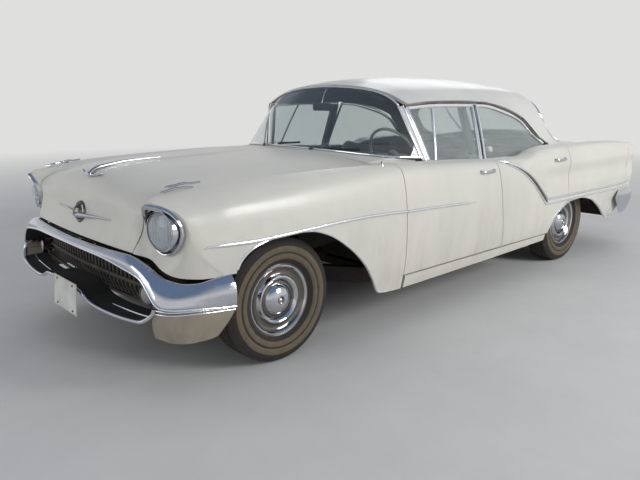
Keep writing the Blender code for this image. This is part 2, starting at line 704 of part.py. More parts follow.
def front_door():
    """Front door with its window frame; its front upper corner stays open for the windscreen."""
    belt = (0.924, 0.80, 0.67, 0.535, 0.500, 0.30, 0.12, -0.015, -0.048)
    shifts = (0.0, 0.0, 0.0, 0.080, 0.078, 0.0, 0.0, 0.0, 0.0)
    grid = door_grid(belt, shifts, lambda z: linear(DOOR_FRONT, z),
                     lambda z: linear(B_LINE, z) + shut_half(z), DOOR_COLUMNS)
    def keep(i, j):
        if i < 3:
            return j >= 3
        return not (j == 1 and 4 <= i < 7)
    left = sheet("front_door_left", grid, lambda i, j: DOOR_WALLS[j], "paint", keep, door_inward(grid),
                 (FRONT_HINGE[0], FRONT_HINGE[1], 0.0))
    mirrored(left, "front_door_right")
    front_glass(grid)


def rear_door():
    """Rear door; its window frame runs down the curve of the roof rail."""
    belt = (-0.068, -0.100, -0.25, -0.45, -0.62, -0.76, -0.87, -0.94, -1.000)
    shifts = (0.0,) * len(belt)
    grid = door_grid(belt, shifts, lambda z: linear(B_LINE, z) - shut_half(z),
                     lambda z: linear(REAR_DOOR_REAR, z), DOOR_COLUMNS)
    def keep(i, j):
        return not (j == 1 and 1 <= i < 7)
    left = sheet("rear_door_left", grid, lambda i, j: DOOR_WALLS[j], "paint", keep, door_inward(grid),
                 (REAR_HINGE[0], REAR_HINGE[1], 0.0))
    mirrored(left, "rear_door_right")
    rear_glass(grid)


def pane(name, corners, origin):
    """Window pane between a lower and an upper row of points, set in the middle of its frame."""
    grid = []
    for low, high in corners:
        grid.append([high, low])
    push = Vector((0.0, -1.0, 0.0))
    for row in grid:
        for p in row:
            p.y -= (FRAME_WALL - GLASS_WALL) / 2
    return sheet(name, grid, GLASS_WALL, "glass", None, lambda i, j: push, origin)


def front_glass(grid):
    """Front door glass and vent window as one pane, just inside the frame."""
    corners = []
    rows = range(4, 8)
    for i in rows:
        low = grid[i][2].copy()
        high = grid[i][1].copy()
        way = (high - low).normalized()
        along = Vector((GLASS_EDGE if i == rows[0] else -GLASS_EDGE if i == rows[-1] else 0.0, 0.0, 0.0))
        corners.append((low + way * GLASS_EDGE - along, high - way * GLASS_EDGE - along))
    left = pane("front_glass_left", corners, (FRONT_HINGE[0], FRONT_HINGE[1], 0.0))
    mirrored(left, "front_glass_right")


def rear_glass(grid):
    """Rear door glass, just inside its frame."""
    corners = []
    rows = range(1, 8)
    for i in rows:
        low = grid[i][2].copy()
        high = grid[i][1].copy()
        way = (high - low).normalized()
        along = Vector((GLASS_EDGE if i == rows[0] else -GLASS_EDGE if i == rows[-1] else 0.0, 0.0, 0.0))
        corners.append((low + way * GLASS_EDGE - along, high - way * GLASS_EDGE * 2 - along))
    left = pane("rear_glass_left", corners, (REAR_HINGE[0], REAR_HINGE[1], 0.0))
    mirrored(left, "rear_glass_right")


def roof():
    """Roof with the windscreen posts and the rear quarter pillars, open at the rear window."""
    rows = (0.0, 0.5, 1.0, 2.0, 2.5, 3.0, 3.5, 4.0, 4.5, 5.0, 5.16, 5.6, 6.0, 6.5, 6.92, 7.5, 8.0)
    steps = (0.0, 0.5, 1.0, 1.5, 2.0, 2.3, 2.55, 2.8, 3.0)
    def point(s, t):
        row = rib(ROOF_RIBS, s)
        mirror = Vector((row[1].x, -row[1].y, row[1].z))
        return across([mirror] + row, t + 1.0)
    half = [[point(s, t) for t in steps] for s in rows]
    grid = [[Vector((p.x, -p.y, p.z)) for p in reversed(row[1:])] + row for row in half]
    middle = len(steps) - 1
    def keep(i, j):
        reach = j - middle if j >= middle else middle - 1 - j
        return not (10 <= i < 14 and reach < 5)
    last = 2 * (len(steps) - 1)
    def inward(i, j):
        normal = surface_normal(grid, i, j)
        if normal.z < 0.0:
            normal = -normal
        if j in (0, last) and i < 9:
            return Vector((0.0, 1.0 if j == 0 else -1.0, 0.0))
        return -normal
    def wall(i, j):
        return RAIL_WALL if j in (0, last) and i < 9 else ROOF_WALL
    shell = sheet("roof", grid, wall, "paint", keep, inward)
    for side_name, sign in SIDES:
        foot = Vector((0.590, 0.762 * sign, 0.978))
        head = Vector((0.616, 0.622 * sign, 1.345))
        post = guide(swept("post_" + side_name, (foot, head), rectangle(0.028, 0.034), "paint",
                           up=(1.0, 0.0, 0.0)))
        boolean(shell, post, "UNION")
    steps_glass = (0.0, 0.5, 1.0, 1.5, 2.0, 2.3)
    half = [[point(s, t) for t in steps_glass] for s in (5.16, 5.6, 6.0, 6.5, 6.92)]
    pane_grid = [[Vector((p.x, -p.y, p.z)) for p in reversed(row[1:])] + row for row in half]
    inset_pane("rear_window", pane_grid, (ROOF_WALL - GLASS_WALL) / 2)


def inset_pane(name, grid, depth):
    """Pane from a grid, drawn in from its frame at the edges and set back by depth."""
    rows = len(grid)
    cols = len(grid[0])
    core = Vector((-1.3, 0.0, 0.6))
    drawn = []
    for i in range(rows):
        row = []
        for j in range(cols):
            p = grid[i][j]
            normal = surface_normal(grid, i, j)
            if normal.dot(p - core) < 0.0:
                normal = -normal
            shift = Vector((0.0, 0.0, 0.0))
            if i == 0:
                shift += (grid[1][j] - p).normalized()
            if i == rows - 1:
                shift += (grid[-2][j] - p).normalized()
            if j == 0:
                shift += (grid[i][1] - p).normalized()
            if j == cols - 1:
                shift += (grid[i][-2] - p).normalized()
            row.append(p - normal * depth + shift * PANE_INSET)
        drawn.append(row)
    return sheet(name, drawn, GLASS_WALL, "glass")


def windscreen():
    """Wrapped windscreen from post to post."""
    shares = (0.0, 0.3, 0.6, 0.8, 1.0)
    half = []
    for share in shares:
        foot, head = rib(SCREEN_RIBS, share)
        middle = (foot + head) / 2 + Vector((0.012, 0.0, 0.010))
        half.append([foot, middle, head])
    grid = [[Vector((p.x, -p.y, p.z)) for p in row] for row in reversed(half[1:])] + half
    sheet("windshield", grid, GLASS_WALL, "glass")


# Front edge of the cowl: y, x, z, and how wide it fans out against the windscreen's foot
COWL_FRONT = ((0.0, 1.055, 1.030), (0.30, 1.045, 1.025), (0.55, 1.030, 1.010), (0.70, 1.012, 0.992),
              (0.775, 1.000, 0.975))
COWL_FAN = 0.952


def cowl():
    """Firewall and cowl top under the windscreen."""
    columns = [rib(SCREEN_RIBS, share)[0] for share in (0.0, 0.3, 0.6, 0.8)]
    columns = [p for p in columns if p.y < COWL_HALF - COWL_EDGE]
    half = []
    for p in columns:
        y = p.y * COWL_FAN
        front = Vector((smooth(knots(COWL_FRONT, 0), knots(COWL_FRONT, 1), y), y,
                        smooth(knots(COWL_FRONT, 0), knots(COWL_FRONT, 2), y)))
        rear = p + Vector((-0.012, 0.0, -SCREEN_LIFT))
        half.append([front, (front + rear) / 2 + Vector((0.0, 0.0, 0.004)), rear])
    front = Vector((1.000, COWL_HALF, 0.975))
    rear = Vector((0.640, COWL_HALF, 0.985))
    half.append([front, (front + rear) / 2 + Vector((0.0, 0.0, 0.004)), rear])
    grid = [[Vector((p.x, -p.y, p.z)) for p in row] for row in reversed(half[1:])] + half
    top = sheet("cowl", grid, 0.020, "paint", None, lambda i, j: Vector((0.0, 0.0, -1.0)))
    wall_half = COWL_HALF - 0.004
    wall = guide(box("firewall", (FIREWALL_X, -wall_half, TOE_TOP - 0.010),
                     (FIREWALL_X + FIREWALL_WALL, wall_half, 0.970), "paint"))
    boolean(top, wall, "UNION")


def side_frame():
    """Sill, hinge pillar and centre pillar of one side as one piece."""
    rows = spread(0.880, -0.835, 8)
    outer = []
    for x in rows:
        bottom = linear(LOWER_EDGE, x)
        outer.append([Vector((x, side_y(x, SILL_TOP_Z) - 0.002, SILL_TOP_Z)),
                      Vector((x, side_y(x, (SILL_TOP_Z + bottom) / 2), (SILL_TOP_Z + bottom) / 2)),
                      Vector((x, side_y(x, bottom + 0.01) - 0.004, bottom)),
                      Vector((x, SILL_INNER, bottom + 0.02)), Vector((x, SILL_INNER, SILL_TOP_Z))])
    points = [p for row in outer for p in row]
    faces = [tuple(range(5)), tuple(range(len(points) - 1, len(points) - 6, -1))]
    for k in range(len(rows) - 1):
        for m in range(5):
            n = (m + 1) % 5
            faces.append((k * 5 + m, k * 5 + n, (k + 1) * 5 + n, (k + 1) * 5 + m))
    left = build_object("side_frame_left", points, faces, "paint")
    hinge_post = guide(box("hinge_post_left", (0.800, SILL_INNER + 0.004, 0.280), (0.872, PILLAR_OUTER, 0.900),
                           "paint"))
    post_head = guide(box("post_head_left", (0.800, SILL_INNER + 0.004, 0.890), (0.872, 0.800, 0.9611),
                          "paint"))
    step = guide(box("sill_step_left", (-0.500, SILL_INNER, 0.280), (0.850, 0.790, FLOOR_TOP + 0.004), "paint"))
    centre = guide(swept("centre_post_left", ((-0.018, 0.812, 0.280), (-0.018, 0.806, 0.850),
                                              (-0.018, 0.752, 0.985), (-0.018, 0.636, 1.300)),
                         rectangle(0.030, 0.062), "paint", up=(1.0, 0.0, 0.0)))
    buffers = []
    for name, x in (("front", FRONT_HINGE[0]), ("rear", REAR_HINGE[0] - BUFFER_BACK)):
        place = (x, side_y(x, SILL_TOP_Z) - BUFFER_IN, SILL_TOP_Z)
        profile = ((-0.004, 0.0), (-0.004, 0.012), (BUFFER_RISE, 0.012), (BUFFER_RISE, 0.0))
        buffers.append(guide(turned(name + "_buffer_left", profile, place, (0, 0, 1), "paint", 12)))
    for tool in [hinge_post, post_head, centre, step] + buffers:
        guide(mirrored(tool, tool.name.replace("left", "right")))
        boolean(left, tool, "UNION")
    mirrored(left, "side_frame_right")


def floor_pan():
    """Floor from the toe board to the tail, with the tunnel over the shaft."""
    cabin = ((FIREWALL_X - SEAT, TOE_TOP), (0.93, 0.400), (0.86, FLOOR_TOP), (-0.50, FLOOR_TOP))
    trunk = ((-0.50, FLOOR_TOP), (-0.56, SEAT_FLOOR), (-0.98, SEAT_FLOOR), (-1.04, 0.600),
             (-1.80, 0.600), (-1.90, 0.470), (-2.4317, 0.470))
    def strip(name, profile, half):
        under = [(x, z - FLOOR_WALL) for x, z in reversed(profile)]
        return prism(name, list(profile) + under, "y", -half, half, "chassis")
    pan = strip("floor_pan", cabin, FLOOR_HALF)
    rear = guide(strip("trunk_floor", trunk, TRUNK_HALF))
    slot = guide(box("tunnel_slot", (-0.540, -0.186, 0.300), (0.990, 0.186, 0.437), "chassis"))
    arch = ((-0.200, FLOOR_TOP - FLOOR_WALL), (-0.200, FLOOR_TOP), (-0.120, TUNNEL_TOP), (0.120, TUNNEL_TOP),
            (0.200, FLOOR_TOP), (0.200, FLOOR_TOP - FLOOR_WALL), (0.185, FLOOR_TOP - FLOOR_WALL),
            (0.112, TUNNEL_TOP - FLOOR_WALL), (-0.112, TUNNEL_TOP - FLOOR_WALL),
            (-0.185, FLOOR_TOP - FLOOR_WALL))
    tunnel = guide(prism("tunnel", arch, "x", -0.555, 0.985, "chassis"))
    boolean(pan, rear, "UNION")
    boolean(pan, slot, "DIFFERENCE")
    boolean(pan, tunnel, "UNION")


def frame():
    """Perimeter chassis frame with its cross members."""
    rail = ((2.30, FRONT_RAIL_Y, 0.330), (2.05, FRONT_RAIL_Y, 0.330), (1.50, FRONT_RAIL_Y, 0.330),
            (1.20, FRONT_RAIL_Y + 0.040, 0.300), (0.95, MIDDLE_RAIL_Y, RAIL_MIDDLE),
            (-0.60, MIDDLE_RAIL_Y, RAIL_MIDDLE), (-0.90, REAR_RAIL_Y + 0.020, 0.300),
            (-1.14, REAR_RAIL_Y, 0.500), (-1.52, REAR_RAIL_Y, 0.500), (-1.80, REAR_RAIL_Y, 0.390),
            (-2.40, REAR_RAIL_Y, 0.380))
    left = swept("frame", rail, rectangle(RAIL_WIDE, RAIL_HIGH), "chassis")
    right = guide(swept("rail_right", [(x, -y, z) for x, y, z in rail], rectangle(RAIL_WIDE, RAIL_HIGH),
                        "chassis"))
    boolean(left, right, "UNION")
    members = (("front_member", 2.20, FRONT_RAIL_Y + 0.010, 0.330, 0.10, 0.070),
               ("gearbox_member", 0.72, MIDDLE_RAIL_Y, 0.235, 0.09, 0.050),
               ("seat_member", -0.45, MIDDLE_RAIL_Y, 0.225, 0.07, 0.050),
               ("kick_member", -1.66, REAR_RAIL_Y, 0.450, 0.07, 0.050),
               ("tail_member", -2.36, REAR_RAIL_Y + 0.010, 0.380, 0.06, 0.070))
    for name, x, half, z, wide, high in members:
        low = (x - wide / 2, -half, z - high / 2)
        top = (x + wide / 2, half, z + high / 2)
        bar = guide(box(name, low, top, "chassis"))
        boolean(left, bar, "UNION")


def arm(name, sign, inner_half, inner_y, outer_half, outer_y, low, high):
    """Flat control arm from the cross member to the kingpin."""
    outline = ((FRONT_AXLE_X + inner_half, inner_y * sign), (FRONT_AXLE_X + outer_half, outer_y * sign),
               (FRONT_AXLE_X - outer_half, outer_y * sign), (FRONT_AXLE_X - inner_half, inner_y * sign))
    return guide(prism(name, outline, "z", low, high, "chassis"))


def front_suspension():
    """Cross member with upper and lower control arms reaching the kingpins."""
    tower_in = FRONT_RAIL_Y - 0.130
    seat_out = FRONT_RAIL_Y + 0.025
    beam_half = FRONT_RAIL_Y - 0.090
    beam = box("front_suspension", (FRONT_AXLE_X - 0.09, -beam_half, BEAM_LOW),
               (FRONT_AXLE_X + 0.09, beam_half, BEAM_TOP), "chassis")
    for side_name, sign in SIDES:
        lower = arm("lower_arm_" + side_name, sign, 0.13, tower_in, 0.022, KINGPIN_Y + 0.016,
                    LOWER_ARM_Z - 0.026, LOWER_ARM_Z)
        upper = arm("upper_arm_" + side_name, sign, 0.08, tower_in + 0.030, 0.018, KINGPIN_Y + 0.014,
                    UPPER_ARM_Z, UPPER_ARM_Z + 0.022)
        tower = side_box("spring_tower_" + side_name, sign, (FRONT_AXLE_X - 0.055, tower_in, 0.22),
                         (FRONT_AXLE_X + 0.055, tower_in + 0.080, UPPER_ARM_Z + 0.02), "chassis")
        seat = side_box("beam_seat_" + side_name, sign, (FRONT_AXLE_X - 0.05, tower_in, BEAM_LOW),
                        (FRONT_AXLE_X + 0.05, seat_out, BEAM_TOP), "chassis")
        for tool in (lower, tower, upper, seat):
            boolean(beam, tool, "UNION")


def knuckle():
    """Steering knuckle: kingpin between the arms and a flange for the wheel."""
    left = turned("knuckle_left", ((LOWER_ARM_Z + TURN_GAP, 0.0), (LOWER_ARM_Z + TURN_GAP, 0.020),
                                   (UPPER_ARM_Z - TURN_GAP, 0.020), (UPPER_ARM_Z - TURN_GAP, 0.0)),
                  (FRONT_AXLE_X, KINGPIN_Y, 0.0), (0, 0, 1), "iron", 12, origin=(FRONT_AXLE_X, KINGPIN_Y, 0.0))
    face = HUB_FACE - TURN_GAP
    spindle = ((KINGPIN_Y - 0.002, 0.0), (KINGPIN_Y - 0.002, 0.045), (face, 0.060), (face, 0.0))
    hub = guide(turned("spindle_left", spindle, (FRONT_AXLE_X, 0.0, TYRE_RADIUS), (0, 1, 0), "iron", 16))
    arm = guide(box("steering_arm_left", (FRONT_AXLE_X - 0.14, KINGPIN_Y - 0.030, 0.300),
                    (FRONT_AXLE_X, KINGPIN_Y - 0.008, 0.322), "iron"))
    for tool in (hub, arm):
        guide(mirrored(tool, tool.name.replace("left", "right")))
        boolean(left, tool, "UNION")
    mirrored(left, "knuckle_right")


def wheel(name, x, track, sign):
    """Pressed wheel with its brake drum behind it, and the tyre around it."""
    seat = RIM_RADIUS - RIM_GAP
    profile = ((-HUB_INSET, 0.0), (-HUB_INSET, 0.100), (-HUB_INSET + 0.008, DRUM_RADIUS), (-0.035, DRUM_RADIUS),
               (-0.030, RIM_RADIUS - 0.024), (-0.080, seat), (0.084, seat), (0.056, 0.160), (0.070, 0.140),
               (0.098, 0.0))
    centre = (x, sign * track / 2, TYRE_RADIUS)
    turned("wheel_" + name, profile, centre, (0, sign, 0), "chrome", 24)
    half = TYRE_WIDTH / 2
    wall = RIM_RADIUS + 0.065
    foot = RIM_RADIUS + 0.022
    shoulder = TYRE_RADIUS - 0.024
    tyre = ((-0.079, RIM_RADIUS), (-half + 0.006, foot), (-half, wall), (-half + 0.010, shoulder),
            (-half + 0.030, TYRE_RADIUS), (half - 0.030, TYRE_RADIUS), (half - 0.010, shoulder),
            (half, wall), (half - 0.006, foot), (0.079, RIM_RADIUS))
    turned("tyre_" + name, tyre, centre, (0, sign, 0), "tyre", 32, ring=True)


def rear_axle():
    """Live rear axle with its differential and the leaf springs."""
    end = REAR_TRACK / 2 - HUB_INSET - TURN_GAP
    half = ((end, 0.070), (end - 0.012, 0.070), (end - 0.030, 0.036), (0.16, 0.040), (0.07, 0.125))
    profile = [(-end, 0.0)] + [(-x, r) for x, r in half] + [(x, r) for x, r in reversed(half)] + [(end, 0.0)]
    axle = turned("rear_axle", profile, (REAR_AXLE_X, 0.0, TYRE_RADIUS), (0, 1, 0), "chassis", 16)
    for side_name, sign in SIDES:
        y = sign * REAR_RAIL_Y
        leaf = ((-0.80, y, 0.2200), (-1.02, y, 0.235), (REAR_AXLE_X, y, 0.290), (-1.66, y, 0.282),
                (-1.90, y, 0.3230))
        spring = guide(swept("leaf_spring_" + side_name, leaf, rectangle(0.060, 0.030), "chassis"))
        boolean(axle, spring, "UNION")


def driveline():
    """Propeller shaft from the gearbox to the differential."""
    path = ((GEARBOX_END - SEAT, 0.0, 0.335), (REAR_AXLE_X + 0.1255, 0.0, TYRE_RADIUS))
    swept("propeller_shaft", path, circle(0.036, 10), "iron")


def engine():
    """Engine and gearbox as one plain block at their real place."""
    outline = ((1.96, 0.300), (1.96, 0.700), (1.86, 0.860), (1.30, 0.860), (1.20, 0.640), (1.20, 0.2803))
    block = prism("engine", outline, "y", -0.140, 0.140, "iron")
    outline = ((1.24, 0.470), (1.06, 0.425), (GEARBOX_END, 0.400), (GEARBOX_END, 0.2603), (1.24, 0.2603))
    gearbox = guide(prism("gearbox", outline, "y", -0.095, 0.095, "iron"))
    boolean(block, gearbox, "UNION")
    heads = guide(box("engine_banks", (1.32, -0.270, 0.480), (1.90, 0.270, 0.760), "iron"))
    boolean(block, heads, "UNION")


def radiator():
    """Radiator with its support panel, on the front cross member."""
    half = FRONT_RAIL_Y - 0.070
    box("radiator", (2.170, -half, 0.3653), (2.225, half, RADIATOR_TOP), "chassis")


def exhaust():
    """Exhaust pipe with its silencer, from the engine to the tail."""
    y = REAR_RAIL_Y - 0.100
    path = ((1.20, -0.200, 0.236), (1.02, -0.240, 0.176), (0.60, -0.300, 0.170), (-0.20, -0.330, 0.170),
            (-0.95, -0.330, 0.180), (REAR_AXLE_X, -0.330, 0.180), (-1.72, 0.005 - y, 0.250), (-2.45, -y, 0.270))
    pipe = swept("exhaust", path, circle(0.026), "chassis")
    can_path = ((0.30, -0.312, 0.170), (-0.34, -0.330, 0.171))
    can = guide(swept("silencer", can_path, circle(0.070, 12), "chassis"))
    boolean(pipe, can, "UNION")
    hanger = guide(box("hanger", (-0.470, -0.335, 0.165), (-0.430, -0.315, 0.1997), "chassis"))
    boolean(pipe, hanger, "UNION")


def fuel_tank():
    """Fuel tank under the trunk floor."""
    half = REAR_RAIL_Y - 0.160
    box("fuel_tank", (-2.30, -half, 0.250), (-1.92, half, 0.4577), "chassis")


def apron():
    """Inner fender panel beside the engine."""
    outline = ((2.24, 0.600), (2.24, 0.900), (1.20, 0.940), (APRON_END, 0.940), (APRON_END, 0.500),
               (1.30, 0.480), (1.55, 0.700), (2.05, 0.700))
    left = prism("apron_left", outline, "y", APRON_Y, APRON_Y + APRON_WALL, "chassis")
    inner = APRON_Y + APRON_WALL / 2
    tray_outline = ((1.24, inner), (1.24, 0.765), (1.70, 0.765), (2.15, 0.61), (2.15, inner))
    tray = guide(prism("apron_tray_left", tray_outline, "z", TRAY_TOP - APRON_WALL, TRAY_TOP, "chassis"))
    guide(mirrored(tray, "apron_tray_right"))
    boolean(left, tray, "UNION")
    mirrored(left, "apron_right")


def wheelhouse():
    """Inner wheel housing at the rear."""
    outline = []
    turn = [math.radians(16.0 + 148.0 * k / 12) for k in range(13)]
    for radius, order in ((HOUSE_RADIUS, 1), (HOUSE_RADIUS - HOUSE_WALL, -1)):
        arc = [(REAR_AXLE_X + radius * math.cos(a), TYRE_RADIUS + radius * math.sin(a)) for a in turn]
        outline += arc[::order]
    left = prism("wheelhouse_left", outline, "y", TRUNK_HALF + SEAT, HOUSE_OUTER, "chassis")
    reach = HOUSE_RADIUS - 0.003
    wall_outline = [(REAR_AXLE_X + reach * math.cos(a), TYRE_RADIUS + reach * math.sin(a)) for a in turn]
    wall = guide(prism("wheelhouse_wall_left", wall_outline, "y", TRUNK_HALF + SEAT, TRUNK_HALF + HOUSE_WALL,
                       "chassis"))
    guide(mirrored(wall, "wheelhouse_wall_right"))
    boolean(left, wall, "UNION")
    mirrored(left, "wheelhouse_right")


BUMPER_FRONT_ROWS = (
    # station, then x, y, z for the columns back top, top, brow, mouth top, mouth foot, lip, back foot
    (0.0, (2.490, 0.000, 0.646), (2.535, 0.000, 0.652), (2.566, 0.000, 0.636), (2.562, 0.000, 0.610),
     (2.610, 0.000, 0.428), (FRONT_END_X, 0.000, 0.405), (2.600, 0.000, 0.355)),
    (1.0, (2.484, 0.200, 0.646), (2.530, 0.200, 0.652), (2.560, 0.200, 0.636), (2.556, 0.200, 0.609),
     (2.606, 0.200, 0.422), (2.634, 0.200, 0.400), (2.594, 0.200, 0.350)),
    (1.5, (2.478, 0.300, 0.646), (2.524, 0.300, 0.651), (2.554, 0.300, 0.634), (2.549, 0.300, 0.607),
     (2.596, 0.300, 0.378), (2.624, 0.300, 0.362), (2.580, 0.300, 0.318)),
    (2.5, (2.460, 0.480, 0.642), (2.504, 0.480, 0.646), (2.532, 0.480, 0.624), (2.524, 0.480, 0.588),
     (2.570, 0.480, 0.372), (2.600, 0.480, 0.352), (2.550, 0.480, 0.305)),
    (3.2, (2.432, 0.620, 0.628), (2.478, 0.622, 0.630), (2.508, 0.626, 0.598), (2.500, 0.628, 0.534),
     (2.530, 0.630, 0.366), (2.556, 0.632, 0.345), (2.510, 0.620, 0.290)),
    (3.8, (2.398, 0.720, 0.604), (2.448, 0.724, 0.606), (2.482, 0.732, 0.562), (2.484, 0.738, 0.470),
     (2.492, 0.740, 0.400), (2.500, 0.738, 0.335), (2.456, 0.715, 0.262)),
    (4.6, (2.330, 0.815, 0.584), (2.378, 0.826, 0.586), (2.412, 0.850, 0.552), (2.424, 0.856, 0.470),
     (2.412, 0.850, 0.408), (2.402, 0.842, 0.335), (2.372, 0.810, 0.250)),
    (5.4, (2.235, 0.880, 0.560), (2.262, 0.908, 0.562), (2.290, 0.932, 0.535), (2.300, 0.940, 0.470),
     (2.290, 0.934, 0.410), (2.282, 0.920, 0.335), (2.262, 0.880, 0.248)),
    (6.0, (2.140, 0.900, 0.558), (2.128, 0.935, 0.560), (2.128, 0.962, 0.535),
     (2.128, BUMPER_HALF_WIDTH, 0.470), (2.128, 0.955, 0.408), (2.140, 0.938, 0.335), (2.160, 0.900, 0.252)),
)


def front_bumper():
    """Wrapped front bumper around the wide open mouth."""
    rows = (0.0, 1.0, 1.5, 2.0, 2.5, 3.2, 3.8, 4.2, 4.6, 5.0, 5.4, 6.0)
    steps = (0.0, 1.0, 2.0, 3.0, 4.0, 5.0, 6.0)
    half = [[across(rib(BUMPER_FRONT_ROWS, s), t) for t in steps] for s in rows]
    grid = [[Vector((p.x, -p.y, p.z)) for p in row] for row in reversed(half[1:])] + half
    middle = len(rows) - 1
    def keep(i, j):
        reach = i - middle if i >= middle else middle - 1 - i
        return not (j == 3 and reach < 6)
    core = Vector((1.9, 0.0, 0.47))
    def inward(i, j):
        normal = surface_normal(grid, i, j)
        if normal.dot(grid[i][j] - core) < 0.0:
            normal = -normal
        return -normal
    bumper = sheet("front_bumper", grid, 0.012, "chrome", keep, inward)
    for side_name, sign in SIDES:
        horn = side_box("bumper_iron_" + side_name, sign, (2.3003, FRONT_RAIL_Y - IRON_HALF, 0.300),
                        (2.575, FRONT_RAIL_Y + IRON_HALF, 0.360), "chrome")
        boolean(bumper, horn, "UNION")


SLOT_COUNT = 15
SLOT_REACH = 0.560
SLOT_HALF = 0.013


def grille():
    """Dark grille panel with its row of slots, set back in the mouth."""
    panel = box("grille", (2.395, -0.700, 0.400), (2.411, 0.700, 0.596), "trim")
    for k, y in enumerate(spread(-SLOT_REACH, SLOT_REACH, SLOT_COUNT)):
        slot = guide(box("slot_%02d" % k, (2.38, y - SLOT_HALF, 0.455), (2.43, y + SLOT_HALF, 0.545), "trim"))
        boolean(panel, slot, "DIFFERENCE")
    for side_name, sign in SIDES:
        foot = side_box("grille_foot_" + side_name, sign, (2.3003, FRONT_RAIL_Y - IRON_HALF, 0.362),
                        (2.400, FRONT_RAIL_Y + IRON_HALF, 0.415), "trim")
        boolean(panel, foot, "UNION")


# Rear bumper. Each row: station, then x, y, z of the columns top lip, top, face, foot, foot lip
BUMPER_REAR_ROWS = (
    (0.0, (-2.560, 0.000, 0.560), (-2.620, 0.000, 0.550), (REAR_END_X, 0.000, 0.470), (-2.610, 0.000, 0.360),
     (-2.560, 0.000, 0.330)),
    (1.0, (-2.550, 0.400, 0.560), (-2.610, 0.400, 0.550), (-2.636, 0.400, 0.470), (-2.600, 0.400, 0.360),
     (-2.550, 0.400, 0.330)),
    (2.0, (-2.500, 0.720, 0.560), (-2.560, 0.740, 0.552), (-2.590, 0.750, 0.475), (-2.560, 0.740, 0.350),
     (-2.500, 0.720, 0.300)),
    (3.0, (-2.400, 0.880, 0.545), (-2.440, 0.915, 0.535), (-2.455, 0.925, 0.470), (-2.430, 0.910, 0.350),
     (-2.390, 0.880, 0.295)),
    (4.0, (-2.150, 0.925, 0.538), (-2.140, 0.956, 0.530), (-2.110, BUMPER_HALF_WIDTH - 0.004, 0.470),
     (-2.180, 0.940, 0.360), (-2.200, 0.910, 0.305)),
)


def rear_bumper():
    """Rear bumper bar with wrapped ends."""
    rows = (0.0, 1.0, 1.5, 2.0, 2.5, 3.0, 3.4, 3.7, 4.0)
    steps = (0.0, 1.0, 2.0, 3.0, 4.0)
    half = [[across(rib(BUMPER_REAR_ROWS, s), t) for t in steps] for s in rows]
    grid = [[Vector((p.x, -p.y, p.z)) for p in row] for row in reversed(half[1:])] + half
    core = Vector((-1.9, 0.0, 0.45))
    def inward(i, j):
        normal = surface_normal(grid, i, j)
        if normal.dot(grid[i][j] - core) < 0.0:
            normal = -normal
        return -normal
    bumper = sheet("rear_bumper", grid, 0.012, "chrome", None, inward)
    for side_name, sign in SIDES:
        iron = side_box("rear_bumper_iron_" + side_name, sign, (-2.620, REAR_RAIL_Y - IRON_HALF, 0.355),
                        (-2.4012, REAR_RAIL_Y + IRON_HALF, 0.405), "chrome")
        boolean(bumper, iron, "UNION")


def tail_panel():
    """Lower rear body panel behind the bumper, with the stops of the trunk lid."""
    panel = box("tail_panel", (-2.450, -0.760, 0.430), (-2.432, 0.760, TAIL_TOP), "paint")
    for side_name, sign in SIDES:
        stop = side_box("lid_stop_" + side_name, sign, (-2.468, 0.280, 0.570), (-2.440, 0.320, 0.5992), "paint")
        boolean(panel, stop, "UNION")


def tail_lamp():
    """Tail lamp that closes the end of the fin."""
    foot = TAIL_TOP + SEAT
    outline = ((0.640, foot), (0.880, foot), (0.888, 0.700), (0.858, 0.850), (0.660, 0.850), (0.628, 0.760))
    left = prism("tail_lamp_left", outline, "x", -2.445, -2.360, "red")
    mirrored(left, "tail_lamp_right")


def headlamp():
    """Headlamp with its chrome ring."""
    profile = ((-0.090, 0.0), (-0.090, 0.060), (-0.020, 0.092), (0.004, LAMP_HOLE - 0.0006),
               (0.026, LAMP_HOLE - 0.004), (0.030, 0.090), (0.022, 0.082), (0.034, 0.040), (0.038, 0.0))
    left = turned("headlamp_left", profile, LAMP_CENTRE, LAMP_AXIS, "lamp", LAMP_STEPS)
    mirrored(left, "headlamp_right")


def dashboard():
    """Dashboard with the steering column."""
    front = FIREWALL_X - SEAT
    outline = ((front, 0.900), (front, 0.948), (0.80, 0.948), (0.70, 0.936), (0.672, 0.900),
               (0.690, 0.780), (0.735, 0.735), (0.760, 0.740), (0.730, 0.800), (0.725, 0.880))
    panel = prism("dashboard", outline, "y", -0.720, 0.720, "trim")
    start = WHEEL_HUB + COLUMN_WAY * (HUB_HALF + TURN_GAP)
    end = WHEEL_HUB + COLUMN_WAY * COLUMN_LENGTH
    column = guide(swept("steering_column", (start, end), circle(0.021, 10), "trim"))
    boolean(panel, column, "UNION")


def steering_wheel():
    """Steering wheel with two spokes and a hub."""
    turn = [2 * math.pi * k / 6 for k in range(6)]
    grip = [(GRIP_RADIUS * math.cos(a), STEER_RADIUS + GRIP_RADIUS * math.sin(a)) for a in turn]
    wheel_ring = turned("steering_wheel", grip, WHEEL_HUB, COLUMN_WAY, "trim", 20, ring=True)
    profile = ((-HUB_HALF, 0.0), (-HUB_HALF, 0.030), (HUB_HALF, 0.034), (HUB_HALF, 0.0))
    hub = guide(turned("steering_hub", profile, WHEEL_HUB, COLUMN_WAY, "trim", 14))
    reach = Vector((0.0, STEER_RADIUS, 0.0))
    spoke_path = (WHEEL_HUB + reach, WHEEL_HUB - reach)
    spoke = guide(swept("steering_spokes", spoke_path, rectangle(0.024, 0.012), "trim"))
    boolean(wheel_ring, hub, "UNION")
    boolean(wheel_ring, spoke, "UNION")


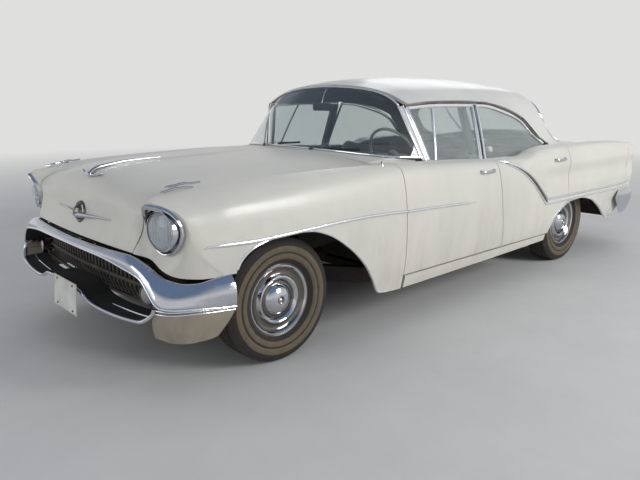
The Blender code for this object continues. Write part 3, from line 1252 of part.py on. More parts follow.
def seats():
    """Front and rear bench seats."""
    foot = TUNNEL_TOP + SEAT
    front = ((0.400, foot), (0.430, 0.500), (0.420, 0.600), (0.000, 0.585), (-0.090, 0.990),
             (-0.150, 1.030), (-0.220, 1.000), (-0.130, 0.540), (-0.120, foot))
    prism("front_seat", front, "y", -0.690, 0.690, "cloth")
    rear = ((-0.555, 0.4504), (-0.540, 0.590), (-0.570, 0.640), (-0.900, 0.620), (-1.010, 0.930),
            (-1.060, 0.950), (-1.130, 0.930), (-1.070, 0.6604), (-1.040, 0.6204), (-0.972, 0.4504))
    prism("rear_seat", rear, "y", -TRUNK_HALF + 0.002, TRUNK_HALF - 0.002, "cloth")


def main():
    clear_scene()
    fender()
    hood()
    trunk_lid()
    quarter()
    front_door()
    rear_door()
    roof()
    windscreen()
    cowl()
    side_frame()
    floor_pan()
    frame()
    front_suspension()
    knuckle()
    for end, x, track in (("front_", FRONT_AXLE_X, FRONT_TRACK), ("rear_", REAR_AXLE_X, REAR_TRACK)):
        for side_name, sign in SIDES:
            wheel(end + side_name, x, track, int(sign))
    rear_axle()
    driveline()
    engine()
    radiator()
    exhaust()
    fuel_tank()
    apron()
    wheelhouse()
    front_bumper()
    grille()
    rear_bumper()
    tail_panel()
    tail_lamp()
    headlamp()
    dashboard()
    steering_wheel()
    seats()


main()
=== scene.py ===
"""Looks of a full-size 1950s four-door sedan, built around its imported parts.

Metres, +X to the front, +Y to the car's left, +Z up. Left-hand pieces are modelled and mirrored.
"""
import math

import bmesh
import bpy
from mathutils import Matrix, Vector


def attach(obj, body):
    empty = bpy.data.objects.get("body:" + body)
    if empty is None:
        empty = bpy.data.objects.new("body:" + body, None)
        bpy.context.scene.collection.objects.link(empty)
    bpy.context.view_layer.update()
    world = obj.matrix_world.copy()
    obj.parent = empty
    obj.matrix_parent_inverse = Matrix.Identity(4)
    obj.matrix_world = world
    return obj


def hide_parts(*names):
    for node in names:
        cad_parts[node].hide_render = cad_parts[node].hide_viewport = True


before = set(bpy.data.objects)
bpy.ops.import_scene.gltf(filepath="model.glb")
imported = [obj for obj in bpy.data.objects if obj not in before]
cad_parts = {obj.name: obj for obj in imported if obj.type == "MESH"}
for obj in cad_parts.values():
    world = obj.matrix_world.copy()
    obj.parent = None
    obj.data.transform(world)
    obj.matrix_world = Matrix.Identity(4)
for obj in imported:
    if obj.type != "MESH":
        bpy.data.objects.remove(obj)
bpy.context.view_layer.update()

# Driving dimensions, the same as the solids'
FRONT_AXLE_X = 1.784
REAR_AXLE_X = FRONT_AXLE_X - 3.099
FRONT_TRACK = 1.499
REAR_TRACK = 1.473
TYRE_RADIUS = 0.338
TYRE_WIDTH = 0.196
RIM_RADIUS = 0.197
SHUT_GAP = 0.005
SKIN = 0.010

# Camera of the photograph
CAMERA_PLACE = (3.745, 3.265, 1.390)
CAMERA_YAW = -132.63
CAMERA_PITCH = -13.14
CAMERA_ROLL = 0.06
CAMERA_LENS = 35.18

SIDES = (("left", 1.0), ("right", -1.0))

# Body openings and shut lines
DOOR_FRONT = ((0.32, 0.900), (0.70, 0.916), (0.99, 0.924))
B_LINE = ((0.32, -0.180), (0.70, -0.105), (0.96, -0.058))
REAR_DOOR_REAR = ((0.32, -0.858), (0.36, -0.872), (0.432, -0.909), (0.496, -0.992),
                  (0.540, -1.080), (0.60, -1.086), (0.85, -1.060), (1.01, -1.035))
# Lower edge of the side panels: x, z
LOWER_EDGE = ((-2.26, 0.545), (-2.225, 0.352), (-2.10, 0.306), (-1.985, 0.292), (-1.876, 0.335),
              (-1.687, 0.441),
              (-1.514, 0.521), (-1.30, 0.555), (-1.137, 0.547), (-0.992, 0.496), (-0.909, 0.432),
              (-0.862, 0.340), (-0.850, 0.262), (-0.30, 0.250), (0.40, 0.238), (0.90, 0.232),
              (1.110, 0.250), (1.182, 0.345), (1.269, 0.459), (1.401, 0.578), (1.561, 0.675),
              (1.675, 0.708), (1.837, 0.717), (1.926, 0.706), (2.013, 0.684), (2.073, 0.650),
              (2.104, 0.615), (2.124, 0.572))

# Body side skin, front to rear. Each row: station, then x, y, z of the columns
# ledge, crown, shoulder, waist, lower, sill. Blunter nose corners and a shorter fin tip than the solids'
SIDE_RIBS = (
    (2.62, (2.482, 0.612, 0.669), (2.466, 0.700, 0.653), (2.444, 0.785, 0.620), (2.398, 0.848, 0.588),
     (2.318, 0.898, 0.574), (2.235, 0.918, 0.569)),
    (2.48, (2.440, 0.655, 0.858), (2.470, 0.735, 0.915), (2.400, 0.868, 0.872), (2.350, 0.902, 0.770),
     (2.298, 0.919, 0.668), (2.200, 0.926, 0.574)),
    (2.30, (2.330, 0.650, 0.928), (2.310, 0.745, 0.953), (2.280, 0.884, 0.884), (2.258, 0.923, 0.760),
     (2.238, 0.930, 0.662), (2.185, 0.930, 0.574)),
    (2.13, (2.130, 0.672, 0.956), (2.130, 0.770, 0.973), (2.130, 0.904, 0.900), (2.130, 0.938, 0.745),
     (2.130, 0.940, 0.650), (2.130, 0.932, 0.572)),
    (1.90, (1.900, 0.684, 0.970), (1.900, 0.787, 0.983), (1.900, 0.909, 0.906),
     (1.900, 0.945, 0.740), (1.900, 0.945, 0.550), (1.900, 0.930, 0.400)),
    (1.60, (1.600, 0.715, 0.982), (1.600, 0.804, 0.990), (1.600, 0.912, 0.918),
     (1.600, 0.949, 0.735), (1.600, 0.946, 0.480), (1.600, 0.915, 0.250)),
    (1.20, (1.200, 0.748, 0.990), (1.200, 0.826, 0.994), (1.200, 0.915, 0.928),
     (1.200, 0.951, 0.727), (1.200, 0.944, 0.450), (1.200, 0.905, 0.232)),
    (0.93, (0.930, 0.800, 0.985), (0.930, 0.848, 0.988), (0.930, 0.918, 0.930),
     (0.930, 0.952, 0.720), (0.930, 0.944, 0.440), (0.930, 0.905, 0.230)),
    (0.40, (0.400, 0.812, 0.968), (0.400, 0.858, 0.974), (0.400, 0.928, 0.920),
     (0.400, 0.955, 0.700), (0.400, 0.946, 0.430), (0.400, 0.905, 0.236)),
    (-0.10, (-0.100, 0.818, 0.952), (-0.100, 0.866, 0.960), (-0.100, 0.935, 0.906),
     (-0.100, 0.956, 0.700), (-0.100, 0.947, 0.430), (-0.100, 0.906, 0.246)),
    (-0.50, (-0.500, 0.810, 0.962), (-0.500, 0.874, 0.980), (-0.500, 0.940, 0.928),
     (-0.500, 0.956, 0.700), (-0.500, 0.947, 0.430), (-0.500, 0.906, 0.254)),
    (-1.00, (-1.000, 0.780, 0.988), (-1.000, 0.870, 1.002), (-1.000, 0.940, 0.950),
     (-1.000, 0.956, 0.700), (-1.000, 0.946, 0.430), (-1.000, 0.904, 0.262)),
    (-1.50, (-1.500, 0.722, 0.974), (-1.500, 0.864, 1.000), (-1.500, 0.936, 0.945),
     (-1.500, 0.954, 0.690), (-1.500, 0.942, 0.430), (-1.500, 0.902, 0.280)),
    (-2.00, (-2.000, 0.640, 0.952), (-2.000, 0.854, 0.984), (-2.000, 0.924, 0.925),
     (-2.000, 0.946, 0.670), (-2.000, 0.930, 0.430), (-2.000, 0.893, 0.290)),
    (-2.34, (-2.340, 0.622, 0.925), (-2.340, 0.846, 0.958), (-2.330, 0.908, 0.905),
     (-2.300, 0.930, 0.660), (-2.300, 0.922, 0.520), (-2.300, 0.905, 0.430)),
    (-2.50, (-2.425, 0.616, 0.885), (-2.500, 0.820, 0.918), (-2.488, 0.880, 0.888), (-2.405, 0.918, 0.700),
     (-2.400, 0.915, 0.580), (-2.390, 0.905, 0.460)),
)

# Hood, front to rear. Each row: station, then x, y, z of the columns centre and flank
HOOD_RIBS = (
    (2.62, (2.500, 0.0, 0.666), (2.497, 0.330, 0.669)),
    (2.55, (2.466, 0.0, 0.777), (2.454, 0.330, 0.774)),
    (2.48, (2.448, 0.0, 0.885), (2.444, 0.330, 0.876)),
    (2.30, (2.340, 0.0, 0.998), (2.340, 0.330, 0.972)),
    (2.13, (2.150, 0.0, 1.016), (2.145, 0.345, 1.003)),
    (1.90, (1.900, 0.0, 1.022), (1.900, 0.355, 1.016)),
    (1.60, (1.600, 0.0, 1.032), (1.600, 0.365, 1.028)),
    (1.20, (1.240, 0.0, 1.046), (1.225, 0.380, 1.038)),
    (1.04, (1.090, 0.0, 1.040), (1.070, 0.390, 1.032)),
)

# Trunk lid, front to rear, same columns
DECK_RIBS = (
    (-1.86, (-1.860, 0.0, 0.968), (-1.860, 0.330, 0.964)),
    (-2.10, (-2.120, 0.0, 0.955), (-2.110, 0.330, 0.950)),
    (-2.30, (-2.330, 0.0, 0.925), (-2.315, 0.320, 0.920)),
    (-2.42, (-2.455, 0.0, 0.850), (-2.440, 0.310, 0.845)),
    (-2.46, (-2.485, 0.0, 0.740), (-2.470, 0.310, 0.740)),
    (-2.50, (-2.480, 0.0, 0.600), (-2.465, 0.310, 0.600)),
)
DECK_EDGE = ((-2.50, 0.600, -2.440, 0.600), (-2.46, 0.604, -2.448, 0.740),
             (-2.42, 0.608, -2.412, 0.845), (-2.30, 0.616, -2.300, 0.915),
             (-2.10, 0.624, -2.100, 0.937), (-1.86, 0.650, -1.860, 0.950))

# Roof skin, front to rear. Each row: station, then x, y, z of centre, inner, outer, rail.
# Its end is fuller than the solids'
ROOF_RIBS = (
    (0.0, (0.655, 0.0, 1.455), (0.648, 0.30, 1.440), (0.632, 0.52, 1.400), (0.606, 0.668, 1.334)),
    (1.0, (0.440, 0.0, 1.489), (0.436, 0.30, 1.474), (0.428, 0.54, 1.428), (0.410, 0.676, 1.348)),
    (2.0, (0.080, 0.0, 1.510), (0.080, 0.30, 1.496), (0.080, 0.55, 1.444), (0.080, 0.680, 1.352)),
    (3.0, (-0.340, 0.0, 1.506), (-0.340, 0.30, 1.491), (-0.340, 0.55, 1.434),
     (-0.340, 0.680, 1.325)),
    (4.0, (-0.800, 0.0, 1.474), (-0.790, 0.31, 1.460), (-0.765, 0.555, 1.400), (-0.740, 0.690, 1.226)),
    (5.0, (-1.180, 0.0, 1.415), (-1.150, 0.33, 1.398), (-1.090, 0.585, 1.312), (-1.045, 0.770, 0.996)),
    (6.0, (-1.500, 0.0, 1.245), (-1.450, 0.36, 1.205), (-1.310, 0.612, 1.085), (-1.210, 0.748, 0.992)),
    (7.0, (-1.790, 0.0, 1.045), (-1.720, 0.38, 1.028), (-1.540, 0.605, 0.994), (-1.370, 0.728, 0.984)),
    (8.0, (-1.848, 0.0, 0.972), (-1.848, 0.33, 0.968), (-1.848, 0.540, 0.960),
     (-1.848, 0.648, 0.954)),
)

# Windscreen, centre to corner. Each row: station, then x, y, z of foot and head
SCREEN_RIBS = (
    (0.0, (0.975, 0.0, 1.040), (0.668, 0.0, 1.440)),
    (0.3, (0.962, 0.300, 1.036), (0.661, 0.260, 1.427)),
    (0.6, (0.900, 0.580, 1.024), (0.648, 0.470, 1.395)),
    (0.8, (0.795, 0.735, 1.012), (0.650, 0.575, 1.358)),
    (1.0, (0.616, 0.800, 1.000), (0.660, 0.640, 1.322)),
)

# Door-window rail along the roof edge: x, y, z
RAIL = ((0.620, 0.668, 1.316), (0.30, 0.676, 1.331), (-0.20, 0.680, 1.3245), (-0.50, 0.684, 1.272),
        (-0.74, 0.692, 1.196), (-0.90, 0.716, 1.084), (-1.020, 0.768, 0.998))


def knots(table, column):
    """One column of a table as a plain list."""
    return [row[column] for row in table]


def smooth(xs, ys, x):
    """Monotone cubic through the knots, xs rising or falling."""
    if xs[0] > xs[-1]:
        xs = xs[::-1]
        ys = ys[::-1]
    if x <= xs[0]:
        return ys[0]
    if x >= xs[-1]:
        return ys[-1]
    k = 0
    while x > xs[k + 1]:
        k += 1
    steps = [xs[i + 1] - xs[i] for i in range(len(xs) - 1)]
    rises = [(ys[i + 1] - ys[i]) / steps[i] for i in range(len(xs) - 1)]

    def tangent(i):
        if i == 0:
            return rises[0]
        if i == len(xs) - 1:
            return rises[-1]
        before = rises[i - 1]
        after = rises[i]
        if before * after <= 0.0:
            return 0.0
        w1 = 2.0 * steps[i] + steps[i - 1]
        w2 = steps[i] + 2.0 * steps[i - 1]
        return (w1 + w2) / (w1 / before + w2 / after)

    h = steps[k]
    t = (x - xs[k]) / h
    a = 2 * t ** 3 - 3 * t ** 2 + 1
    b = t ** 3 - 2 * t ** 2 + t
    c = -2 * t ** 3 + 3 * t ** 2
    d = t ** 3 - t ** 2
    return a * ys[k] + b * h * tangent(k) + c * ys[k + 1] + d * h * tangent(k + 1)


def linear(pairs, x):
    """Straight lines through rising or falling x, value pairs."""
    if pairs[0][0] > pairs[-1][0]:
        pairs = pairs[::-1]
    if x <= pairs[0][0]:
        return pairs[0][1]
    for (x0, v0), (x1, v1) in zip(pairs, pairs[1:]):
        if x <= x1:
            return v0 + (v1 - v0) * (x - x0) / (x1 - x0)
    return pairs[-1][1]


def across(points, t):
    """Catmull-Rom through a row of points, t counted in columns."""
    last = len(points) - 1
    k = min(int(t), last - 1)
    f = t - k
    p1 = points[k]
    p2 = points[k + 1]
    p0 = points[k - 1] if k > 0 else p1 * 2 - p2
    p3 = points[k + 2] if k + 2 <= last else p2 * 2 - p1
    return 0.5 * ((p1 * 2) + (p2 - p0) * f + (p0 * 2 - p1 * 5 + p2 * 4 - p3) * f ** 2
                  + (p1 * 3 - p0 - p2 * 3 + p3) * f ** 3)


def rib(table, s):
    """The row of points of a table at station s."""
    stations = knots(table, 0)
    return [Vector([smooth(stations, [row[c][k] for row in table], s) for k in range(3)])
            for c in range(1, len(table[0]))]


def side(s, t):
    """Point of the body side skin at station s and column t."""
    return across(rib(SIDE_RIBS, s), t)


def side_t(s, z):
    """Column at which the body side skin has height z, below its crown."""
    row = rib(SIDE_RIBS, s)
    low, high = 1.0, 5.0
    for _ in range(40):
        middle = 0.5 * (low + high)
        if across(row, middle).z > z:
            low = middle
        else:
            high = middle
    return 0.5 * (low + high)


def full_width(row):
    """A left-hand row of points with its mirror image before it, joined at the centre."""
    return [Vector((p.x, -p.y, p.z)) for p in reversed(row[1:])] + row


def full_rows(rows):
    """Left-hand rows with their mirror images before them, joined at the centre row."""
    return [[Vector((p.x, -p.y, p.z)) for p in row] for row in reversed(rows[1:])] + rows


def srgb(r, g, b):
    """Linear colour from 0 to 255 display values."""
    return tuple(((v / 255.0 + 0.055) / 1.055) ** 2.4 for v in (r, g, b)) + (1.0,)


class Nodes:
    """Short way to build a material's node tree."""

    def __init__(self, name):
        self.material = bpy.data.materials.new(name)
        self.material.use_nodes = True
        self.tree = self.material.node_tree
        self.shader = self.tree.nodes["Principled BSDF"]
        self.place = self.add("ShaderNodeTexCoord").outputs["Object"]

    def add(self, kind, **values):
        node = self.tree.nodes.new(kind)
        for key, value in values.items():
            if key in node.inputs:
                node.inputs[key].default_value = value
            else:
                setattr(node, key, value)
        return node

    def link(self, out, into):
        self.tree.links.new(out, into)

    def noise(self, scale, detail=4.0, roughness=0.6, stretch=(1.0, 1.0, 1.0)):
        mapping = self.add("ShaderNodeMapping")
        mapping.inputs["Scale"].default_value = stretch
        texture = self.add("ShaderNodeTexNoise", Scale=scale, Detail=detail, Roughness=roughness)
        self.link(self.place, mapping.inputs["Vector"])
        self.link(mapping.outputs[0], texture.inputs["Vector"])
        return texture.outputs["Fac"]

    def ramp(self, value, low, high):
        node = self.add("ShaderNodeMapRange")
        node.inputs["From Min"].default_value = low
        node.inputs["From Max"].default_value = high
        self.link(value, node.inputs["Value"])
        return node.outputs["Result"]

    def height(self, low, high):
        """1 at height low falling to 0 at height high."""
        split = self.add("ShaderNodeSeparateXYZ")
        self.link(self.place, split.inputs[0])
        return self.ramp(split.outputs["Z"], high, low)

    def times(self, a, b):
        node = self.add("ShaderNodeMath", operation="MULTIPLY")
        self.link(a, node.inputs[0])
        if isinstance(b, float):
            node.inputs[1].default_value = b
        else:
            self.link(b, node.inputs[1])
        return node.outputs[0]

    def mix(self, factor, first, second):
        node = self.add("ShaderNodeMix", data_type="RGBA")
        self.link(factor, node.inputs["Factor"])
        for value, socket in ((first, node.inputs[6]), (second, node.inputs[7])):
            if isinstance(value, tuple):
                socket.default_value = value
            else:
                self.link(value, socket)
        return node.outputs[2]

    def colour(self, value):
        if isinstance(value, tuple):
            self.shader.inputs["Base Color"].default_value = value
        else:
            self.link(value, self.shader.inputs["Base Color"])

    def rough(self, value, low, high):
        node = self.add("ShaderNodeMapRange")
        node.inputs["To Min"].default_value = low
        node.inputs["To Max"].default_value = high
        self.link(value, node.inputs["Value"])
        self.link(node.outputs["Result"], self.shader.inputs["Roughness"])

    def bump(self, value, strength, distance):
        node = self.add("ShaderNodeBump", Strength=strength, Distance=distance)
        self.link(value, node.inputs["Height"])
        self.link(node.outputs[0], self.shader.inputs["Normal"])


def paint_material(name, fresh, chalk, dirt):
    """Old enamel: chalky patches, road dirt that thickens towards the sills."""
    n = Nodes(name)
    patches = n.ramp(n.noise(1.7, 5.0, 0.65), 0.40, 0.72)
    body = n.mix(patches, fresh, chalk)
    streaks = n.ramp(n.noise(9.0, 6.0, 0.7, (1.0, 1.0, 0.25)), 0.44, 0.78)
    low = n.times(streaks, n.height(0.20, 0.95))
    body = n.mix(n.times(low, 0.45), body, dirt)
    n.colour(body)
    n.rough(n.noise(5.0, 5.0), 0.26, 0.50)
    n.bump(n.noise(38.0, 3.0, 0.5), 0.05, 0.002)
    n.shader.inputs["Coat Weight"].default_value = 0.25
    n.shader.inputs["Coat Roughness"].default_value = 0.18
    return n.material


def frame_material(name, fresh, inside):
    """Enamel on the body's frame, with painted shade above the belt where it shows through the glass."""
    n = Nodes(name)
    patches = n.ramp(n.noise(1.7, 5.0, 0.65), 0.40, 0.72)
    # The inside colour above the belt is painted shade, not the enamel's own colour
    n.colour(n.mix(n.height(0.975, 0.985), inside, n.mix(patches, fresh, srgb(192, 188, 178))))
    n.rough(patches, 0.35, 0.55)
    return n.material


def chrome_material(name, tint, pits, low, high):
    """Dulled plating with pits and a film of dirt."""
    n = Nodes(name)
    spots = n.ramp(n.noise(60.0, 6.0, 0.75), 0.60, 0.74)
    film = n.ramp(n.noise(6.0, 5.0, 0.6), 0.42, 0.80)
    base = n.mix(n.times(film, 0.35), tint, pits)
    n.colour(n.mix(n.times(spots, 0.55), base, pits))
    n.shader.inputs["Metallic"].default_value = 1.0
    n.rough(film, low, high)
    n.bump(spots, 0.15, 0.0006)
    return n.material


def plain_material(name, first, second, scale, low, high, metallic=0.0, bump=0.1, depth=0.001):
    """Two close colours broken up by noise, with roughness and bump to match."""
    n = Nodes(name)
    patches = n.ramp(n.noise(scale, 6.0, 0.65), 0.35, 0.70)
    n.colour(n.mix(patches, first, second))
    n.shader.inputs["Metallic"].default_value = metallic
    n.rough(n.noise(scale * 2.0, 4.0), low, high)
    n.bump(n.noise(scale * 6.0, 4.0), bump, depth)
    return n.material


def glass_material(name, tint, weight, roughness):
    """Thin clear glass with a little haze."""
    n = Nodes(name)
    shader = n.shader
    shader.inputs["Base Color"].default_value = tint
    shader.inputs["Transmission Weight"].default_value = weight
    shader.inputs["IOR"].default_value = 1.45
    shader.inputs["Roughness"].default_value = roughness
    haze = n.ramp(n.noise(14.0, 5.0), 0.45, 0.85)
    n.rough(haze, roughness, roughness + 0.05)
    return n.material


def weave_material(name, first, second, threads):
    """Woven cloth: two thread directions from wave textures."""
    n = Nodes(name)
    bands = []
    for direction in ("X", "Y"):
        wave = n.add("ShaderNodeTexWave", Scale=threads, Distortion=1.2, Detail=2.0)
        wave.bands_direction = direction
        n.link(n.place, wave.inputs["Vector"])
        bands.append(wave.outputs["Fac"])
    cross = n.times(bands[0], bands[1])
    fade = n.ramp(n.noise(4.0, 5.0), 0.3, 0.75)
    n.colour(n.mix(cross, n.mix(fade, first, second), second))
    n.shader.inputs["Roughness"].default_value = 0.9
    n.shader.inputs["Sheen Weight"].default_value = 0.25
    n.bump(cross, 0.35, 0.0012)
    return n.material


def tyre_material(name, rubber, dried):
    """Worn rubber under a film of dried mud."""
    n = Nodes(name)
    dust = n.ramp(n.noise(26.0, 7.0, 0.75), 0.25, 0.75)
    n.colour(n.mix(dust, rubber, dried))
    n.rough(dust, 0.70, 0.95)
    n.bump(n.noise(120.0, 3.0), 0.25, 0.001)
    return n.material


MAT = {
    "paint": paint_material("body_paint", srgb(212, 209, 199), srgb(202, 200, 192), srgb(158, 148, 128)),
    "roof": paint_material("roof_paint", srgb(211, 210, 204), srgb(201, 200, 195), srgb(168, 164, 154)),
    # The frame's dark grey above the belt is painted shade
    "frame": frame_material("frame_paint_and_shade", srgb(212, 209, 199), srgb(70, 74, 74)),
    # Tan stands in for the beige ground seen in the chrome pan: painted reflection; the darker streaks low
    # down are road dirt
    "pan": paint_material("bumper_pan_painted_reflection", srgb(158, 148, 132), srgb(134, 124, 108), srgb(84, 74, 60)),
    "chrome": chrome_material("plating", (0.60, 0.62, 0.66, 1.0), (0.32, 0.29, 0.25, 1.0), 0.06, 0.26),
    "bright": chrome_material("bright_trim", (0.90, 0.91, 0.93, 1.0), (0.52, 0.50, 0.47, 1.0), 0.14, 0.30),
    # Dull steel; also painted shade as the dark line between the sweep mouldings and along the drip rail
    "steel": plain_material("dull_steel", srgb(120, 116, 110), srgb(88, 82, 74), 8.0, 0.35, 0.6, 0.9),
    "dark": plain_material("underbody", srgb(34, 33, 32), srgb(68, 60, 50), 5.0, 0.65, 0.9, 0.1, 0.25),
    "iron": plain_material("castings", srgb(58, 60, 58), srgb(84, 78, 68), 7.0, 0.5, 0.8, 0.5, 0.3),
    "grille": plain_material("grille_paint", srgb(58, 56, 52), srgb(92, 86, 74), 9.0, 0.45, 0.75, 0.3),
    "rubber": plain_material("rubber", srgb(24, 24, 24), srgb(46, 44, 41), 10.0, 0.6, 0.85),
    "trim": plain_material("dash_paint", srgb(64, 76, 78), srgb(84, 92, 90), 6.0, 0.3, 0.5),
    "plastic": plain_material("wheel_plastic", srgb(206, 200, 184), srgb(176, 168, 148), 9.0, 0.25, 0.45),
    # Cabin cloth darkened to near black as painted shade; used for the headliner, visors, rear shelf and seat
    # risers
    "board": plain_material("dark_cloth_painted_shade", srgb(88, 85, 78), srgb(72, 68, 60), 12.0, 0.85, 0.95),
    "plate": plain_material("plate_paint", srgb(224, 224, 220), srgb(196, 192, 182), 7.0, 0.3, 0.5),
    "red": glass_material("red_lens", srgb(150, 16, 10), 0.35, 0.10),
    "glass": glass_material("window_glass", (0.82, 0.88, 0.86, 1.0), 0.84, 0.01),
    "screen": glass_material("windscreen_glass", (0.90, 0.94, 0.93, 1.0), 0.97, 0.01),
    "lens": glass_material("lamp_lens", (0.88, 0.92, 0.95, 1.0), 0.75, 0.04),
    "parking": glass_material("parking_lens", srgb(188, 190, 186), 0.35, 0.20),
    "seat": weave_material("seat_cloth", srgb(86, 92, 92), srgb(132, 134, 126), 160.0),
    "bolster": plain_material("seat_vinyl", srgb(150, 148, 138), srgb(120, 116, 104), 22.0, 0.4, 0.6, 0.0,
                              0.2),
    "tread": tyre_material("tyre_tread", srgb(34, 32, 30), srgb(66, 60, 52)),
    "wall": tyre_material("tyre_wall", srgb(78, 70, 58), srgb(116, 103, 82)),
    "tyre_band": tyre_material("tyre_band", srgb(28, 26, 25), srgb(54, 48, 42)),
    # Dark plating of the wheel covers' dish, the nose boss and the parking rings; on the headlamp brows'
    # inner faces it is painted shade
    "dish": chrome_material("cover_dish", (0.20, 0.18, 0.16, 1.0), (0.12, 0.10, 0.08, 1.0), 0.08, 0.22),
    "shade": plain_material("shaded_gap", srgb(14, 14, 14), srgb(22, 21, 20), 9.0, 0.8, 0.95),
    "carpet": plain_material("carpet", srgb(58, 58, 56), srgb(84, 80, 72), 60.0, 0.9, 0.98, 0.0, 0.4, 0.003),
    # Near-black sheets in the mouth and behind the grille: painted shade in the recess
    "mouth_shade": plain_material("grille_back", srgb(22, 21, 20), srgb(38, 36, 32), 9.0, 0.7, 0.9),
}


def mesh_object(name, points, faces, material, smooth_angle=35.0):
    """Mesh from points and faces, turned outward and shaded smooth."""
    mesh = bpy.data.meshes.new(name)
    mesh.from_pydata([tuple(p) for p in points], [], faces)
    work = bmesh.new()
    work.from_mesh(mesh)
    bmesh.ops.remove_doubles(work, verts=work.verts, dist=2e-5)
    bmesh.ops.recalc_face_normals(work, faces=work.faces)
    work.to_mesh(mesh)
    work.free()
    mesh.materials.append(MAT[material])
    mesh.shade_smooth()
    mesh.set_sharp_from_angle(angle=math.radians(smooth_angle))
    thing = bpy.data.objects.new(name, mesh)
    bpy.context.scene.collection.objects.link(thing)
    return thing


def mirror_object(thing, name):
    """Right-hand copy of a left-hand piece."""
    mesh = thing.data.copy()
    mesh.transform(Matrix.Diagonal((1.0, -1.0, 1.0, 1.0)))
    mesh.flip_normals()
    copy = bpy.data.objects.new(name, mesh)
    bpy.context.scene.collection.objects.link(copy)
    for modifier in thing.modifiers:
        other = copy.modifiers.new(modifier.name, modifier.type)
        if modifier.type == "BEVEL":
            set_bevel(other, modifier.width, modifier.segments)
    return copy


def set_bevel(modifier, width, segments):
    modifier.width = width
    modifier.segments = segments
    modifier.limit_method = "ANGLE"
    modifier.angle_limit = math.radians(50.0)
    modifier.use_clamp_overlap = True


def rounded(thing, width, segments=2):
    """Small rounded edges."""
    set_bevel(thing.modifiers.new("edges", "BEVEL"), width, segments)
    return thing


def finish_piece(thing, body, slot, *nodes):
    """Piece rides on its body in place of the CAD nodes; slot is not used."""
    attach(thing, body)
    if nodes:
        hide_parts(*nodes)
    return thing


def both(thing, body, slot, *nodes):
    """A left piece and its mirror image; names hold the word left."""
    other = mirror_object(thing, thing.name.replace("left", "right"))
    finish_piece(thing, body, slot, *nodes)
    finish_piece(other, body.replace("left", "right"), slot, *[n.replace("left", "right") for n in nodes])
    return thing, other


def spread(low, high, count):
    """Evenly spaced values from low to high."""
    return [low + (high - low) * k / (count - 1) for k in range(count)]


def surface_normal(grid, i, j):
    """Unit normal of a grid at one of its points."""
    rows = len(grid)
    cols = len(grid[0])
    along = grid[min(i + 1, rows - 1)][j] - grid[max(i - 1, 0)][j]
    over = grid[i][min(j + 1, cols - 1)] - grid[i][max(j - 1, 0)]
    return along.cross(over).normalized()


def shell(name, grid, wall, material, core, keep=None):
    """Closed skin from a grid of outer points, thickened towards the core point."""
    rows = len(grid)
    cols = len(grid[0])
    middle = Vector(core)
    lean = sum(surface_normal(grid, i, j).dot(grid[i][j] - middle)
               for i in range(0, rows, 3) for j in range(0, cols, 3))
    sign = -1.0 if lean > 0 else 1.0
    inner = [grid[i][j] + surface_normal(grid, i, j) * sign * wall for i in range(rows) for j in range(cols)]
    points = [p for row in grid for p in row] + inner
    shift = rows * cols
    kept = {(i, j) for i in range(rows - 1) for j in range(cols - 1) if keep is None or keep(i, j)}
    faces = []
    for i, j in kept:
        quad = (i * cols + j, (i + 1) * cols + j, (i + 1) * cols + j + 1, i * cols + j + 1)
        faces.append(quad)
        faces.append(tuple(k + shift for k in reversed(quad)))
        edges = (((i, j), (i + 1, j), (i, j - 1)), ((i + 1, j), (i + 1, j + 1), (i + 1, j)),
                 ((i + 1, j + 1), (i, j + 1), (i, j + 1)), ((i, j + 1), (i, j), (i - 1, j)))
        for start, end, neighbour in edges:
            if neighbour not in kept:
                a = start[0] * cols + start[1]
                b = end[0] * cols + end[1]
                faces.append((b, a, a + shift, b + shift))
    used = sorted({k for face in faces for k in face})
    number = {k: n for n, k in enumerate(used)}
    return mesh_object(name, [points[k] for k in used], [tuple(number[k] for k in f) for f in faces],
                       material)


def loft(name, rings, material, closed=True, angle=35.0):
    """Skin over rings of points; the ends are closed by caps."""
    count = len(rings[0])
    points = [p for ring in rings for p in ring]
    faces = []
    last = count if closed else count - 1
    for k in range(len(rings) - 1):
        for m in range(last):
            n = (m + 1) % count
            faces.append((k * count + m, k * count + n, (k + 1) * count + n, (k + 1) * count + m))
    if closed:
        faces.append(tuple(range(count)))
        faces.append(tuple(range(len(points) - 1, len(points) - 1 - count, -1)))
    return mesh_object(name, points, faces, material, angle)


def bar(name, path, profile, material, up=(0.0, 0.0, 1.0), angle=35.0, taper=None):
    """Profile of side and height carried along a path; taper scales it point by point."""
    path = [Vector(p) for p in path]
    up = Vector(up)
    rings = []
    for k, place in enumerate(path):
        way = (path[min(k + 1, len(path) - 1)] - path[max(k - 1, 0)]).normalized()
        across_way = up.cross(way).normalized()
        lift = way.cross(across_way)
        size = taper(k) if taper else 1.0
        rings.append([place + across_way * a * size + lift * b * size for a, b in profile])
    return loft(name, rings, material, True, angle)


def oval(width, height, steps=10, power=1.0):
    """Rounded profile."""
    out = []
    for k in range(steps):
        a = 2.0 * math.pi * k / steps
        c, s = math.cos(a), math.sin(a)
        out.append((0.5 * width * math.copysign(abs(c) ** power, c),
                    0.5 * height * math.copysign(abs(s) ** power, s)))
    return out


def turned(name, profile, centre, axis, material, steps=64, angle=35.0):
    """Turned piece: closed profile of distance along the axis and radius."""
    way = Vector(axis).normalized()
    side_way = way.orthogonal().normalized()
    up_way = way.cross(side_way)
    centre = Vector(centre)
    points = []
    faces = []
    count = len(profile)
    for k in range(steps):
        a = 2.0 * math.pi * k / steps
        radial = side_way * math.cos(a) + up_way * math.sin(a)
        points += [centre + way * x + radial * r for x, r in profile]
    for k in range(steps):
        n = (k + 1) % steps
        for m in range(count):
            q = (m + 1) % count
            corners = [k * count + m, k * count + q, n * count + q, n * count + m]
            if profile[m][1] < 1e-6 and profile[q][1] < 1e-6:
                continue
            if profile[m][1] < 1e-6:
                corners = [corners[0], corners[1], corners[2]]
            elif profile[q][1] < 1e-6:
                corners = [corners[0], corners[1], corners[3]]
            faces.append(corners)
    return mesh_object(name, points, faces, material, angle)


